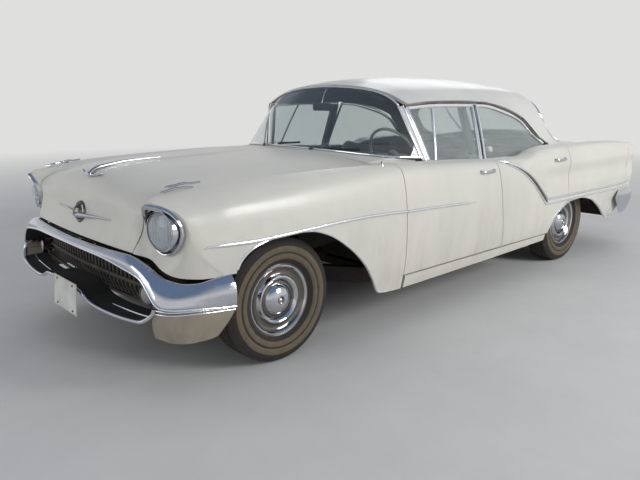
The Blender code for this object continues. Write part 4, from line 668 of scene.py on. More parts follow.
def join(name, things):
    """Several meshes as one piece."""
    points = []
    faces = []
    indices = []
    materials = []
    for thing in things:
        shift = len(points)
        points += [v.co.copy() for v in thing.data.vertices]
        for m in thing.data.materials:
            if m not in materials:
                materials.append(m)
        for polygon in thing.data.polygons:
            faces.append([k + shift for k in polygon.vertices])
            indices.append(materials.index(thing.data.materials[polygon.material_index]))
        bpy.data.objects.remove(thing, do_unlink=True)
    mesh = bpy.data.meshes.new(name)
    mesh.from_pydata(points, [], faces)
    for m in materials:
        mesh.materials.append(m)
    mesh.polygons.foreach_set("material_index", indices)
    mesh.shade_smooth()
    mesh.set_sharp_from_angle(angle=math.radians(35.0))
    joined = bpy.data.objects.new(name, mesh)
    bpy.context.scene.collection.objects.link(joined)
    return joined


# Finer forms of the side skin
SWEEP = ((-0.134, 0.947), (-0.276, 0.903), (-0.412, 0.842), (-0.538, 0.766), (-0.657, 0.672), (-0.763, 0.583))
SWEEP_TAIL = ((-0.763, 0.583), (-1.40, 0.580), (-2.05, 0.578), (-2.38, 0.585))
BELT_DIP = ((0.60, 0.0), (0.20, -0.004), (-0.10, -0.010), (-0.30, -0.020), (-0.44, -0.030), (-0.52, -0.016),
            (-0.60, 0.004), (-0.75, 0.006), (-1.10, 0.0))
HIP_RISE = 0.010
CREASE_Z = 0.853
CREASE_RISE = 0.007


def ease(x, low, high):
    """0 below low, 1 above high, smooth between."""
    t = min(max((x - low) / (high - low), 0.0), 1.0)
    return t * t * (3.0 - 2.0 * t)


def sweep_z(x):
    """Height of the sweep moulding at x."""
    table = SWEEP if x > SWEEP[-1][0] else SWEEP_TAIL
    return smooth(knots(table, 0), knots(table, 1), x)


def skin(s, t):
    """Body side with the dipped belt, the hip behind the sweep moulding and its crease."""
    p = side(s, t)
    if p.x > 0.62:
        return p
    top = 1.0 - ease(t, 1.2, 2.6)
    p.z += smooth(knots(BELT_DIP, 0), knots(BELT_DIP, 1), p.x) * top
    if p.x < SWEEP[0][0]:
        behind = (p.z - sweep_z(p.x)) * 0.75
        nose = ease(-p.x, 0.30, 0.56)
        hip = HIP_RISE * ease(behind, 0.0, 0.075) * nose
        crease = 0.0
        back = ease(-p.x, 0.52, 0.80)
        if p.z > CREASE_Z:
            crease = CREASE_RISE * (1.0 - ease(p.z, CREASE_Z + 0.03, 0.965))
        else:
            crease = CREASE_RISE * (1.0 - 3.0 * ease(CREASE_Z - p.z, 0.0, 0.07) + 2.0 * ease(CREASE_Z - p.z,
                    0.08, 0.27))
        hollow = 0.026 * math.exp(-((p.x + 0.33) / 0.085) ** 2 - ((p.z - 0.926) / 0.032) ** 2)
        p.y += hip + crease * back * min(1.0, max(0.0, behind / 0.03)) - hollow * ease(behind, 0.0, 0.02)
    return p


def lower_edge(x):
    """Lower edge of the side panels."""
    return smooth(knots(LOWER_EDGE, 0), knots(LOWER_EDGE, 1), x)


def skin_row(where, count, bottom=None):
    """Row of the side skin at a station, or along a line x(z), down to its lower edge."""
    start = where(0.7) if callable(where) else where
    end = 5.0
    if start < NOSE_STATION:
        z = bottom if bottom is not None else lower_edge(max(start, -2.26))
        end = side_t(start, z)
    row = []
    for t in spread(0.0, end, count):
        s = start
        if callable(where):
            for _ in range(4):
                s = where(side(s, t).z)
        row.append(skin(s, t))
    return row


NOSE_STATION = 2.13
CORE = (0.0, 0.0, 0.62)
LAMP_CENTRE = Vector((2.412, 0.777, 0.792))
LAMP_AXIS = Vector((0.985, 0.170, 0.0)).normalized()
LAMP_HOLE = 0.104


def cut(thing, tool, operation="DIFFERENCE"):
    """Boolean with a tool that is then removed."""
    modifier = thing.modifiers.new("cut", "BOOLEAN")
    modifier.operation = operation
    modifier.solver = "EXACT"
    modifier.object = tool
    graph = bpy.context.evaluated_depsgraph_get()
    mesh = bpy.data.meshes.new_from_object(thing.evaluated_get(graph))
    thing.modifiers.remove(modifier)
    thing.data = mesh
    mesh.shade_smooth()
    mesh.set_sharp_from_angle(angle=math.radians(35.0))
    bpy.data.objects.remove(tool, do_unlink=True)
    return thing


def behind_rim(p):
    """Fender skin held back behind the lip of the headlamp rim."""
    if p.x < 2.30:
        return p
    gap = p - LAMP_CENTRE
    depth = gap.dot(LAMP_AXIS)
    flat = gap - LAMP_AXIS * depth
    angle = math.degrees(math.atan2(flat.z, flat.dot(Vector((-LAMP_AXIS.y, LAMP_AXIS.x, 0.0)))))
    angle = angle + 360.0 if angle < -90.0 else angle
    over = depth - smooth(knots(BROW, 0), knots(BROW, 1), angle) + 0.019
    if over > 0.0:
        p = p - LAMP_AXIS * over * (1.0 - ease(flat.length, 0.128, 0.215)) * ease(p.z, 0.580, 0.690)
    return p


def fenders():
    """Front fenders, open over the wheels and for the headlamps."""
    rows = spread(2.62, 2.14, 30) + [2.13, 2.127, 2.122, 2.115, 2.107, 2.095, 2.08]
    rows += spread(2.06, 1.20, 52) + [1.19, 1.17, 1.15, 1.13, 1.11, 1.08, 1.03, 0.98]
    grid = [[behind_rim(p) for p in skin_row(s, 40)] for s in rows]
    grid.append(skin_row(lambda z: linear(DOOR_FRONT, z) + SHUT_GAP, 40))
    left = shell("fender_left_skin", grid, SKIN, "paint", CORE)
    hole = turned("lamp_hole", ((-0.2, 0.0), (-0.2, LAMP_HOLE - 0.004), (0.2, LAMP_HOLE - 0.004), (0.2, 0.0)),
                  LAMP_CENTRE, LAMP_AXIS, "paint", 64)
    cut(left, hole)
    both(rounded(left, 0.0022), "body", "paint", "fender_left")


def hood_point(s, t):
    """Point of the hood at station s, t from 0 at the centre to 2 at its edge."""
    centre, flank = rib(HOOD_RIBS, s)
    edge = side(s, 0.0) - Vector((0.0, 0.005, 0.0))
    mirror = Vector((flank.x, -flank.y, flank.z))
    p = across([mirror, centre, flank, edge], t + 1.0)
    ridge = 0.008 * math.exp(-(p.y / 0.016) ** 2) * ease(p.x, 1.15, 1.9) * (1.0 - ease(p.x, 2.20, 2.34))
    dome = 0.006 * math.exp(-(p.y / 0.20) ** 2) * ease(p.x, 1.1, 1.5) * (1.0 - ease(p.x, 2.1, 2.4))
    p.z += ridge + dome
    return p


def mirrored_grid(half):
    """Rows from the right edge to the left one, from rows that run from the centre to the left."""
    return [full_width(row) for row in half]


def hood():
    """Hood with its central ridge."""
    rows = spread(2.62, 2.16, 34) + spread(2.14, 1.045, 44)
    steps = [0.0, 0.02, 0.04, 0.06, 0.08, 0.11, 0.15, 0.2, 0.27] + spread(0.35, 2.0, 26)
    grid = mirrored_grid([[behind_rim(hood_point(s, t)) for t in steps] for s in rows])
    panel = shell("hood_skin", grid, SKIN, "paint", CORE)
    finish_piece(rounded(panel, 0.0025), "hood", "paint", "hood")


def deck_half(s, count):
    """Half row of the trunk lid at station s."""
    stations = knots(DECK_EDGE, 0)
    centre, flank = rib(DECK_RIBS, s)
    edge = Vector([smooth(stations, knots(DECK_EDGE, k), s) for k in (2, 1, 3)])
    mirror = Vector((flank.x, -flank.y, flank.z))
    return [across([mirror, centre, flank, edge], t + 1.0) for t in spread(0.0, 2.0, count)]


def trunk_lid():
    """Trunk lid with its rolled rear edge."""
    grid = mirrored_grid([deck_half(s, 24) for s in spread(-1.862, -2.28, 20) + spread(-2.30, -2.50, 26)])
    panel = shell("trunk_skin", grid, SKIN, "paint", (-2.0, 0.0, 0.3))
    finish_piece(rounded(panel, 0.0025), "trunk_lid", "paint", "trunk_lid")


def quarters():
    """Rear quarters with the fins."""
    rows = spread(-1.10, -1.95, 44) + spread(-1.965, -2.145, 14) + spread(-2.16, -2.50, 26)
    grid = [skin_row(lambda z: linear(REAR_DOOR_REAR, z) - SHUT_GAP, 44)]
    grid += [skin_row(s, 44) for s in rows[2:]]
    left = shell("quarter_left_skin", grid, SKIN, "paint", CORE)
    both(rounded(left, 0.0022), "body", "paint", "quarter_left")


def roof_point(s, t):
    """Point of the roof at station s, t from 0 at the centre to 3 at the rail."""
    row = rib(ROOF_RIBS, s)
    mirror = Vector((row[1].x, -row[1].y, row[1].z))
    return across([mirror] + row, t + 1.0)


REAR_WINDOW = (5.16, 6.92, 2.30)
ROOF_WALL = 0.024


def roof():
    """Roof with the rear pillars, open at the rear window."""
    first, last, wide = REAR_WINDOW
    rows = spread(0.0, first, 62) + spread(first, last, 34)[1:] + spread(last, 8.0, 16)[1:]
    steps = spread(0.0, wide, 26) + spread(wide, 3.0, 12)[1:]
    grid = mirrored_grid([[roof_point(s, t) for t in steps] for s in rows])
    middle = len(steps) - 1

    def keep(i, j):
        reach = j - middle if j >= middle else middle - 1 - j
        s = 0.5 * (rows[i] + rows[i + 1])
        t = 0.5 * (steps[reach] + steps[min(reach + 1, middle)])
        if not (first < s < last and t < wide):
            return True
        corner = max(0.0, (t - wide + 0.22) / 0.22), max(0.0, (first + 0.18 - s) / 0.18,
                                                         (s - last + 0.18) / 0.18)
        return corner[0] ** 2 + corner[1] ** 2 > 1.0

    panel = shell("roof_skin", grid, ROOF_WALL, "roof", (-0.2, 0.0, 0.7), keep)
    # Inner faces of the roof take the darkened cloth: painted shade under the roof
    panel.data.materials.append(MAT["board"])
    for polygon in panel.data.polygons:
        outward = polygon.center - Vector((-0.3, 0.0, 0.9))
        if polygon.normal.dot(outward) < -0.02 and polygon.center.z > 1.0:
            polygon.material_index = 1
    finish_piece(rounded(panel, 0.002), "body", "paint", "roof")


GLASS_WALL = 0.004
BOW = 0.006


def rear_window():
    """Wrapped rear window in its opening."""
    first, last, wide = REAR_WINDOW
    half = [[roof_point(s, t) for t in spread(0.0, wide + 0.03, 30)] for s in spread(first - 0.04,
            last + 0.03, 26)]
    grid = mirrored_grid(half)
    core = Vector((-1.2, 0.0, 0.6))
    drawn = []
    for i, row in enumerate(grid):
        line = []
        for j, p in enumerate(row):
            n = surface_normal(grid, i, j)
            if n.dot(p - core) < 0.0:
                n = -n
            line.append(p - n * 0.009)
        drawn.append(line)
    pane = shell("rear_window_glass", drawn, GLASS_WALL, "glass", core)
    finish_piece(pane, "body", "glass", "rear_window")


def screen_point(share, w):
    """Point of the windscreen: share 0 at the centre to 1 at the corner, w 0 at the foot to 1 at the head."""
    foot, head = rib(SCREEN_RIBS, share)
    bulge = 4.0 * w * (1.0 - w)
    return foot + (head - foot) * w + Vector((0.012, 0.0, 0.010)) * bulge * 0.8


def windscreen():
    """Wrapped windscreen with its bright surround."""
    half = [[screen_point(share, w) for w in spread(0.0, 1.0, 14)] for share in spread(0.0, 1.0, 34)]
    grid = full_rows(half)
    pane = shell("windshield_glass", grid, GLASS_WALL, "screen", (0.0, 0.0, 1.1))
    finish_piece(pane, "body", "glass", "windshield")
    head = [row[-1] + Vector((0.004, 0.0, 0.003)) for row in grid]
    foot = [row[0] + Vector((0.004, 0.0, 0.003)) for row in grid]
    trims = [bar("screen_head", head, oval(0.014, 0.012), "bright"),
             bar("screen_foot", foot, oval(0.012, 0.012), "bright")]
    for name, sign in SIDES:
        corner = [Vector((p.x, p.y * sign, p.z)) for p in half[-1]]
        trims.append(bar("screen_post_" + name, corner, oval(0.014, 0.014), "bright", (1.0, 0.0, 0.0)))
    finish_piece(join("screen_surround", trims), "body", "chrome")


def upper_point(x, w, shift=0.0):
    """Side window plane: w 0 at the ledge, 1 at the rail."""
    ledge = side(x, 0.0)
    top = smooth(knots(RAIL, 0), knots(RAIL, 2), x + shift)
    wide = smooth(knots(RAIL, 0), knots(RAIL, 1), x + shift)
    bow = BOW * 4.0 * w * (1.0 - w)
    return Vector((x + shift * w, ledge.y + (wide - ledge.y) * w + bow, ledge.z + (top - ledge.z) * w))


DOOR_BOTTOM_Z = 0.320
DOOR_WALLS = ((0.0, 0.016), (1.0, 0.018), (2.0, 0.040), (3.0, 0.058), (5.0, 0.058))


def door_panel(name, front, rear):
    """Door below its belt: outer skin, thick walls and a trimmed inner face."""
    count = 44
    grid = []
    for share in spread(0.0, 1.0, 56):
        def where(z):
            return front(z) + (rear(z) - front(z)) * share
        grid.append(skin_row(where, count, DOOR_BOTTOM_Z + 0.002))
    rows = len(grid)
    points = [p for row in grid for p in row]
    for i in range(rows):
        for j in range(count):
            n = surface_normal(grid, i, j)
            if n.y < 0.0:
                n = -n
            t = 5.0 * j / (count - 1)
            flat = ease(t, 0.8, 2.2)
            way = (Vector((0.0, -abs(n.y), -max(n.z, 0.0))) * (1.0 - flat) + Vector((0.0, -1.0,
                    0.0)) * flat).normalized()
            points.append(grid[i][j] + way * linear(DOOR_WALLS, t))
    shift = rows * count
    faces = []
    for i in range(rows - 1):
        for j in range(count - 1):
            quad = (i * count + j, (i + 1) * count + j, (i + 1) * count + j + 1, i * count + j + 1)
            faces.append(quad)
            faces.append(tuple(k + shift for k in reversed(quad)))
    rim = [(i * count, (i + 1) * count) for i in range(rows - 1)]
    rim += [(i * count + count - 1, (i + 1) * count + count - 1) for i in range(rows - 1)]
    rim += [(j, j + 1) for j in range(count - 1)]
    rim += [((rows - 1) * count + j, (rows - 1) * count + j + 1) for j in range(count - 1)]
    faces += [(a, b, b + shift, a + shift) for a, b in rim]
    panel = mesh_object(name, points, faces, "paint")
    panel.data.materials.append(MAT["bolster"])
    for polygon in panel.data.polygons:
        if polygon.normal.y < -0.6 and polygon.center.z < 0.93:
            polygon.material_index = 1
    return rounded(panel, 0.0022)


def front_line(z):
    return linear(DOOR_FRONT, z)


def middle_front(z):
    return linear(B_LINE, z) + SHUT_GAP / 2


def middle_rear(z):
    return linear(B_LINE, z) - SHUT_GAP / 2


def rear_line(z):
    return linear(REAR_DOOR_REAR, z)


FRAME_WIDE = 0.024
FRAME_DEEP = 0.026
B_LEAN = -0.050


def window_frame(name, path, up=(0.0, 1.0, 0.0)):
    """Bright window frame."""
    return bar(name, path, oval(FRAME_DEEP, FRAME_WIDE, 12, 0.6), "bright", up)


def doors():
    """Doors with their bright window frames and glass."""
    front = door_panel("front_door_left_skin", front_line, middle_front)
    rear = door_panel("rear_door_left_skin", middle_rear, rear_line)
    inset = Vector((0.0, -0.012, 0.0))
    post = [upper_point(0.535, w, 0.078) + inset for w in spread(-0.02, 0.965, 12)]
    top = [upper_point(x, 0.965) + inset for x in spread(0.600, -0.036 + B_LEAN, 26)]
    stile = [upper_point(-0.036, w, B_LEAN) + inset for w in spread(0.965, -0.03, 12)]
    frames = [window_frame("frame_a", post, (0.0, 1.0, 0.0)), window_frame("frame_b", top),
              window_frame("frame_c", stile)]
    vent = [upper_point(0.462, w, -0.105) + inset for w in spread(-0.02, 0.955, 10)]
    frames.append(bar("vent_bar", vent, oval(0.018, 0.014, 10, 0.7), "bright", (0.0, 1.0, 0.0)))
    both(join("front_window_frame_left", frames), "front_door_left", "chrome")
    both(front, "front_door_left", "paint", "front_door_left")
    stile = [upper_point(-0.082, w, B_LEAN) + inset for w in spread(-0.03, 0.965, 12)]
    curve = [upper_point(x, 0.962) + inset for x in spread(-0.080 + B_LEAN, -0.55, 20)]
    curve += [upper_point(x, 0.962) + inset for x in spread(-0.57, -1.000, 24)]
    frames = [window_frame("frame_d", stile), window_frame("frame_e", curve)]
    both(join("rear_window_frame_left", frames), "rear_door_left", "chrome")
    both(rear, "rear_door_left", "paint", "rear_door_left")
    door_glass("front_glass_left_pane", spread(0.570, -0.034, 24), "front_door_left", 0.078)
    door_glass("rear_glass_left_pane", spread(-0.084, -0.985, 40), "rear_door_left", 0.0)


def door_glass(name, places, body, lean):
    """Curved door pane from the belt to the frame."""
    grid = []
    for x in places:
        shift = lean * ease(x, 0.30, 0.56) + B_LEAN * max(0.0, 1.0 - abs(x + 0.06) / 0.35)
        low = -0.04 if side(x, 0.0).z < 0.99 else 0.0
        line = []
        for w in spread(low, 0.955, 12):
            p = upper_point(x, w, shift) + Vector((0.0, -0.016, 0.0))
            if w <= 0.0:
                p.z -= 0.05
            line.append(p)
        grid.append(line)
    pane = shell(name, grid, GLASS_WALL, "glass", (0.0, 0.0, 0.8))
    both(pane, body, "glass", name.replace("_pane", ""))


def camera():
    """Camera of the photograph."""
    data = bpy.data.cameras.new("camera")
    data.lens = CAMERA_LENS
    data.sensor_width = 36.0
    data.clip_end = 200.0
    thing = bpy.data.objects.new("camera", data)
    bpy.context.scene.collection.objects.link(thing)
    yaw = math.radians(CAMERA_YAW)
    pitch = math.radians(CAMERA_PITCH)
    way = Vector((math.cos(pitch) * math.cos(yaw), math.cos(pitch) * math.sin(yaw), math.sin(pitch)))
    across_way = way.cross(Vector((0.0, 0.0, 1.0))).normalized()
    lift = across_way.cross(way)
    turn = Matrix.Rotation(math.radians(CAMERA_ROLL), 3, -way)
    across_way = turn @ across_way
    lift = turn @ lift
    thing.matrix_world = Matrix.Translation(CAMERA_PLACE) @ Matrix((across_way, lift,
            -way)).transposed().to_4x4()
    bpy.context.scene.camera = thing


def studio():
    """Pale floor and backdrop, soft lights and an even world."""
    bpy.context.scene.view_settings.view_transform = "Standard"
    pale = (0.74, 0.74, 0.73, 1.0)
    floor = bpy.data.meshes.new("floor")
    floor.from_pydata([(-40, -40, 0), (40, -40, 0), (40, 40, 0), (-40, 40, 0)], [], [(0, 1, 2, 3)])
    thing = bpy.data.objects.new("floor", floor)
    bpy.context.scene.collection.objects.link(thing)
    n = Nodes("floor_paint")
    speck = n.ramp(n.noise(2.0, 8.0, 0.7), 0.3, 0.7)
    n.colour(n.mix(speck, (0.56, 0.56, 0.55, 1.0), (0.61, 0.61, 0.60, 1.0)))
    n.shader.inputs["Roughness"].default_value = 0.9
    reach = n.add("ShaderNodeVectorMath", operation="LENGTH")
    n.link(n.place, reach.inputs[0])
    far = n.ramp(reach.outputs["Value"], 4.5, 13.0)
    glow = n.add("ShaderNodeEmission", Color=pale, Strength=1.0)
    blend = n.add("ShaderNodeMixShader")
    n.link(n.times(far, seen_rays(n.tree)), blend.inputs["Fac"])
    n.link(n.shader.outputs[0], blend.inputs[1])
    n.link(glow.outputs[0], blend.inputs[2])
    n.link(blend.outputs[0], n.tree.nodes["Material Output"].inputs["Surface"])
    floor.materials.append(n.material)
    world = bpy.data.worlds.new("studio")
    bpy.context.scene.world = world
    world.use_nodes = True
    tree = world.node_tree
    light = tree.nodes["Background"]
    light.inputs["Color"].default_value = (0.66, 0.69, 0.74, 1.0)
    light.inputs["Strength"].default_value = 0.64
    place = tree.nodes.new("ShaderNodeTexCoord")
    split = tree.nodes.new("ShaderNodeSeparateXYZ")
    ramp = tree.nodes.new("ShaderNodeValToRGB")
    tree.links.new(place.outputs["Generated"], split.inputs[0])
    tree.links.new(split.outputs["Z"], ramp.inputs["Fac"])
    elements = ramp.color_ramp.elements
    elements[0].position = 0.20
    elements[0].color = pale
    elements[1].position = 0.62
    elements[1].color = (0.17, 0.24, 0.37, 1.0)
    seen = tree.nodes.new("ShaderNodeBackground")
    tree.links.new(ramp.outputs["Color"], seen.inputs["Color"])
    blend = tree.nodes.new("ShaderNodeMixShader")
    tree.links.new(seen_rays(tree), blend.inputs["Fac"])
    tree.links.new(light.outputs[0], blend.inputs[1])
    tree.links.new(seen.outputs[0], blend.inputs[2])
    tree.links.new(blend.outputs[0], tree.nodes["World Output"].inputs["Surface"])
    lights = (("key", (-2.4, 8.0, 4.0), 3.2, 450.0), ("fill", (8.5, -1.0, 3.5), 5.0, 110.0),
              ("back", (-6.5, -4.0, 5.0), 4.0, 90.0))
    for name, place, size, power in lights:
        lamp = bpy.data.lights.new(name, "AREA")
        lamp.size = size
        lamp.energy = power
        source = bpy.data.objects.new(name, lamp)
        source.location = place
        aim = Vector((0.0, 0.0, 0.6)) - Vector(place)
        source.rotation_mode = "QUATERNION"
        source.rotation_quaternion = aim.to_track_quat("-Z", "Y")
        bpy.context.scene.collection.objects.link(source)


def seen_rays(tree):
    """1 for camera, mirror and see-through rays, 0 for the rays that carry light."""
    rays = tree.nodes.new("ShaderNodeLightPath")
    total = rays.outputs["Is Camera Ray"]
    for name in ("Is Glossy Ray", "Is Transmission Ray"):
        node = tree.nodes.new("ShaderNodeMath")
        node.operation = "MAXIMUM"
        tree.links.new(total, node.inputs[0])
        tree.links.new(rays.outputs[name], node.inputs[1])
        total = node.outputs[0]
    return total


KEPT = {
    "paint": ("cowl", "tail_panel"),
    # The frame material carries painted shade above the belt
    "frame": ("side_frame_left", "side_frame_right"),
    "dark": ("floor_pan", "frame", "front_suspension", "rear_axle", "radiator", "exhaust", "fuel_tank",
             "apron_left",
             "apron_right", "wheelhouse_left", "wheelhouse_right"),
    "iron": ("engine", "propeller_shaft", "knuckle_left", "knuckle_right"),
    "trim": ("dashboard",),
}


def kept_nodes():
    """Finish of the solids that show as they are."""
    for material, names in KEPT.items():
        for name in names:
            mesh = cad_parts[name].data
            mesh.materials.clear()
            mesh.materials.append(MAT[material])
            mesh.shade_smooth()
            mesh.set_sharp_from_angle(angle=math.radians(35.0))


def side_path(line, proud=0.003, step=0.02):
    """Points along a table of (x, z) laid on the side skin."""
    points = [Vector((x, 0.0, z)) for x, z in line]
    dense = []
    for k in range(len(points) - 1):
        before = points[max(k - 1, 0)]
        after = points[min(k + 2, len(points) - 1)]
        count = max(2, int((points[k + 1] - points[k]).length / step))
        for c in range(count):
            u = c / count
            a, b = points[k], points[k + 1]
            dense.append(0.5 * ((2 * a) + (b - before) * u + (2 * before - 5 * a + 4 * b - after) * u * u
                                + (3 * a - before - 3 * b + after) * u ** 3))
    dense.append(points[-1])
    path = []
    for p in dense:
        q = skin(p.x, side_t(p.x, p.z))
        path.append(Vector((q.x, q.y + proud, q.z)))
    return path


def strip(name, line, high, deep, material="bright", body="body", ends=(0.35, 0.35), run=(4.0, 4.0)):
    """Bright moulding on the side skin, tapered at its ends."""
    path = side_path(line, deep * 0.3)
    count = len(path)

    def taper(k):
        front = min(1.0, ends[0] + (1.0 - ends[0]) * k / run[0])
        back = min(1.0, ends[1] + (1.0 - ends[1]) * (count - 1 - k) / run[1])
        return min(front, back)

    thing = bar(name, path, oval(high, deep, 12, 0.7), material, (0.0, 1.0, 0.0), 50.0, taper)
    both(thing, body, "chrome")


def clip_line(line, low, high):
    """Part of an (x, z) line between two x values, with ends added."""
    xs = [x for x, _ in line]
    zs = [z for _, z in line]
    inner = [(x, z) for x, z in line if low < x < high]
    first = (high, smooth(xs, zs, high)) if high < max(xs) else None
    last = (low, smooth(xs, zs, low)) if low > min(xs) else None
    return ([first] if first else []) + inner + ([last] if last else [])


SPEAR = ((2.384, 0.713), (2.324, 0.720), (2.15, 0.717), (1.996, 0.713), (1.70, 0.722), (1.367, 0.732),
         (1.10, 0.728), (0.898, 0.719),
         (0.55, 0.708), (0.21, 0.694))


def mouldings():
    """Spear from the nose to the front door, sweep and rear strips."""
    edge = linear(DOOR_FRONT, 0.72)
    rear = linear(REAR_DOOR_REAR, 0.58)
    strip("spear_a_left", clip_line(SPEAR, edge + 0.006, 3.0), 0.017, 0.012, "bright", "body", (0.10, 1.0),
          (9.0, 4.0))
    strip("spear_b_left", clip_line(SPEAR, -3.0, edge - 0.006), 0.017, 0.012, "bright", "front_door_left",
          (1.0, 0.10), (4.0, 10.0))
    first = [(x, z + 0.004 * k) for k, (x, z) in enumerate(SWEEP)]
    second = [(x + 0.010 + 0.003 * k, z - 0.012 - 0.001 * k) for k, (x, z) in enumerate(SWEEP)]
    between = [((a + c) / 2.0, (b + d) / 2.0) for (a, b), (c, d) in zip(first, second)]
    strip("sweep_left", first, 0.019, 0.013, "bright", "rear_door_left", (0.15, 0.8))
    strip("sweep_low_left", second, 0.010, 0.009, "bright", "rear_door_left", (0.5, 0.8))
    # Dull steel strip between the two bright lines: painted shade between them
    strip("sweep_dark_left", between, 0.016, 0.006, "steel", "rear_door_left", (0.5, 0.8))
    upper = [(-0.752, 0.607)] + [(x, z + 0.024) for x, z in SWEEP_TAIL[1:]]
    lower = [(-0.738, 0.566)] + [(x, z - 0.014) for x, z in SWEEP_TAIL[1:]]
    for name, line, high in (("strip_high", upper, 0.020), ("strip_low", lower, 0.012)):
        strip(name + "_door_left", clip_line(line, rear + 0.006, 3.0), high, 0.011, "bright",
              "rear_door_left", (0.5, 1.0))
        strip(name + "_left", clip_line(line, -3.0, rear - 0.006), high, 0.011, "bright", "body", (1.0, 0.4))


def arch_lips():
    """Bright lips of the wheel openings."""
    for name, low, high, body in (("front_lip_left", 1.03, 2.118, "body"),
                                  ("rear_lip_left", -2.10, -0.90, "body")):
        path = []
        for x in spread(high, low, 70):
            z = lower_edge(x) + 0.004
            q = side(x, side_t(x, z))
            path.append(Vector((q.x, q.y + 0.001, z)))
        lip = bar(name, path, oval(0.011, 0.011, 8), "bright", (0.0, 1.0, 0.0))
        both(lip, body, "chrome")


def handle(name, place, body):
    """Pull handle with two posts and a push button."""
    x, z = place
    parts = []
    centre = side_path(((x + 0.08, z), (x - 0.08, z)), 0.024, 0.012)
    lift = [0.0, 0.45, 0.8, 0.95, 1.0]
    for k, p in enumerate(centre):
        edge = min(k, len(centre) - 1 - k)
        drop = 0.022 * (1.0 - lift[min(edge, 4)])
        p.y -= drop
    parts.append(bar(name + "_grip", centre, oval(0.017, 0.010, 12, 0.7), "chrome", (0.0, 1.0, 0.0), 40.0))
    for shift in (0.078, -0.078):
        q = skin(x + shift, side_t(x + shift, z))
        parts.append(turned(name + "_post", ((-0.006, 0.0), (-0.006, 0.013), (0.004, 0.013), (0.010, 0.008),
                                             (0.012, 0.0)),
                            q, (0.0, 1.0, 0.0), "chrome", 20))
    q = skin(x - 0.062, side_t(x - 0.062, z))
    parts.append(turned(name + "_button", ((-0.004, 0.0), (-0.004, 0.010), (0.020, 0.010), (0.022, 0.008),
                                           (0.022, 0.0)),
                        q, (0.0, 1.0, 0.0), "chrome", 18))
    both(join(name, parts), body, "chrome")


def handles():
    handle("front_handle_left", (0.075, 0.885), "front_door_left")
    handle("rear_handle_left", (-0.885, 0.900), "rear_door_left")


def belt_trim():
    """Bright strip at the foot of the side windows and the drip rail over them, its dull steel dark as
    painted shade of the gutter.
    """
    for name, first, last, body in (("front_belt_left", 0.545, -0.046, "front_door_left"),
                                    ("rear_belt_left", -0.086, -1.00, "rear_door_left")):
        path = []
        for x in spread(first, last, 40):
            p = skin(x, 0.0)
            path.append(Vector((p.x, p.y - 0.006, p.z + 0.004)))
        both(bar(name, path, oval(0.012, 0.010, 10, 0.8), "bright", (0.0, 1.0, 0.0)), body, "chrome")
    stations = knots(RAIL, 0)
    path = []
    for x in spread(0.640, -1.035, 70):
        p = Vector((x, smooth(stations, knots(RAIL, 1), x), smooth(stations, knots(RAIL, 2), x)))
        path.append(p + Vector((0.0, 0.004, 0.006)))
    # Dull steel darkens the rail: painted shade of the gutter over the windows
    rail = bar("drip_rail_left", path, oval(0.016, 0.013, 10, 0.8), "steel", (0.0, 1.0, 0.0))
    both(rail, "body", "chrome")


def pillar_trim():
    """Bright cover of the windscreen posts with its foot piece."""
    foot = upper_point(0.560, -0.01, 0.078)
    path = [upper_point(0.572, w, 0.078) + Vector((0.010, -0.004, 0.0)) for w in spread(0.0, 1.0, 14)]
    cover = bar("post_cover_left", path, oval(0.030, 0.012, 12, 0.7), "bright", (0.55, 0.83, 0.0), 45.0)
    plate = bar("post_foot", [foot + Vector((0.038, 0.0, 0.012)), foot + Vector((-0.03, 0.002, 0.010))],
                oval(0.014, 0.012, 10, 0.8), "bright", (0.0, 0.0, 1.0))
    both(join("post_cover_left", [cover, plate]), "body", "chrome")
    step = [skin(x, 0.35) + Vector((0.0, 0.004, 0.004)) for x in spread(0.552, 0.445, 8)]
    both(bar("belt_foot_left", step, oval(0.012, 0.016, 10, 0.7), "bright", (0.0, 1.0, 0.0)),
         "front_door_left", "chrome")


def ring(name, centre, axis, radius, thick, material, steps=64):
    """Round bead about an axis."""
    profile = [(thick * math.sin(a), radius + thick * math.cos(a))
               for a in (math.tau * k / 12 for k in range(12))]
    return turned(name, profile, centre, axis, material, steps)


# Front lip of the headlamp rim: angle from the outer side over the top, depth along the lamp's axis, radius
BROW = ((-90.0, 0.004, 0.113), (-45.0, -0.008, 0.113), (0.0, -0.018, 0.111), (30.0, -0.004, 0.113),
        (60.0, 0.024, 0.116),
        (90.0, 0.050, 0.120), (112.0, 0.061, 0.131), (135.0, 0.044, 0.118), (160.0, 0.022, 0.105),
        (180.0, 0.012, 0.101),
        (225.0, 0.008, 0.103), (270.0, 0.004, 0.113))


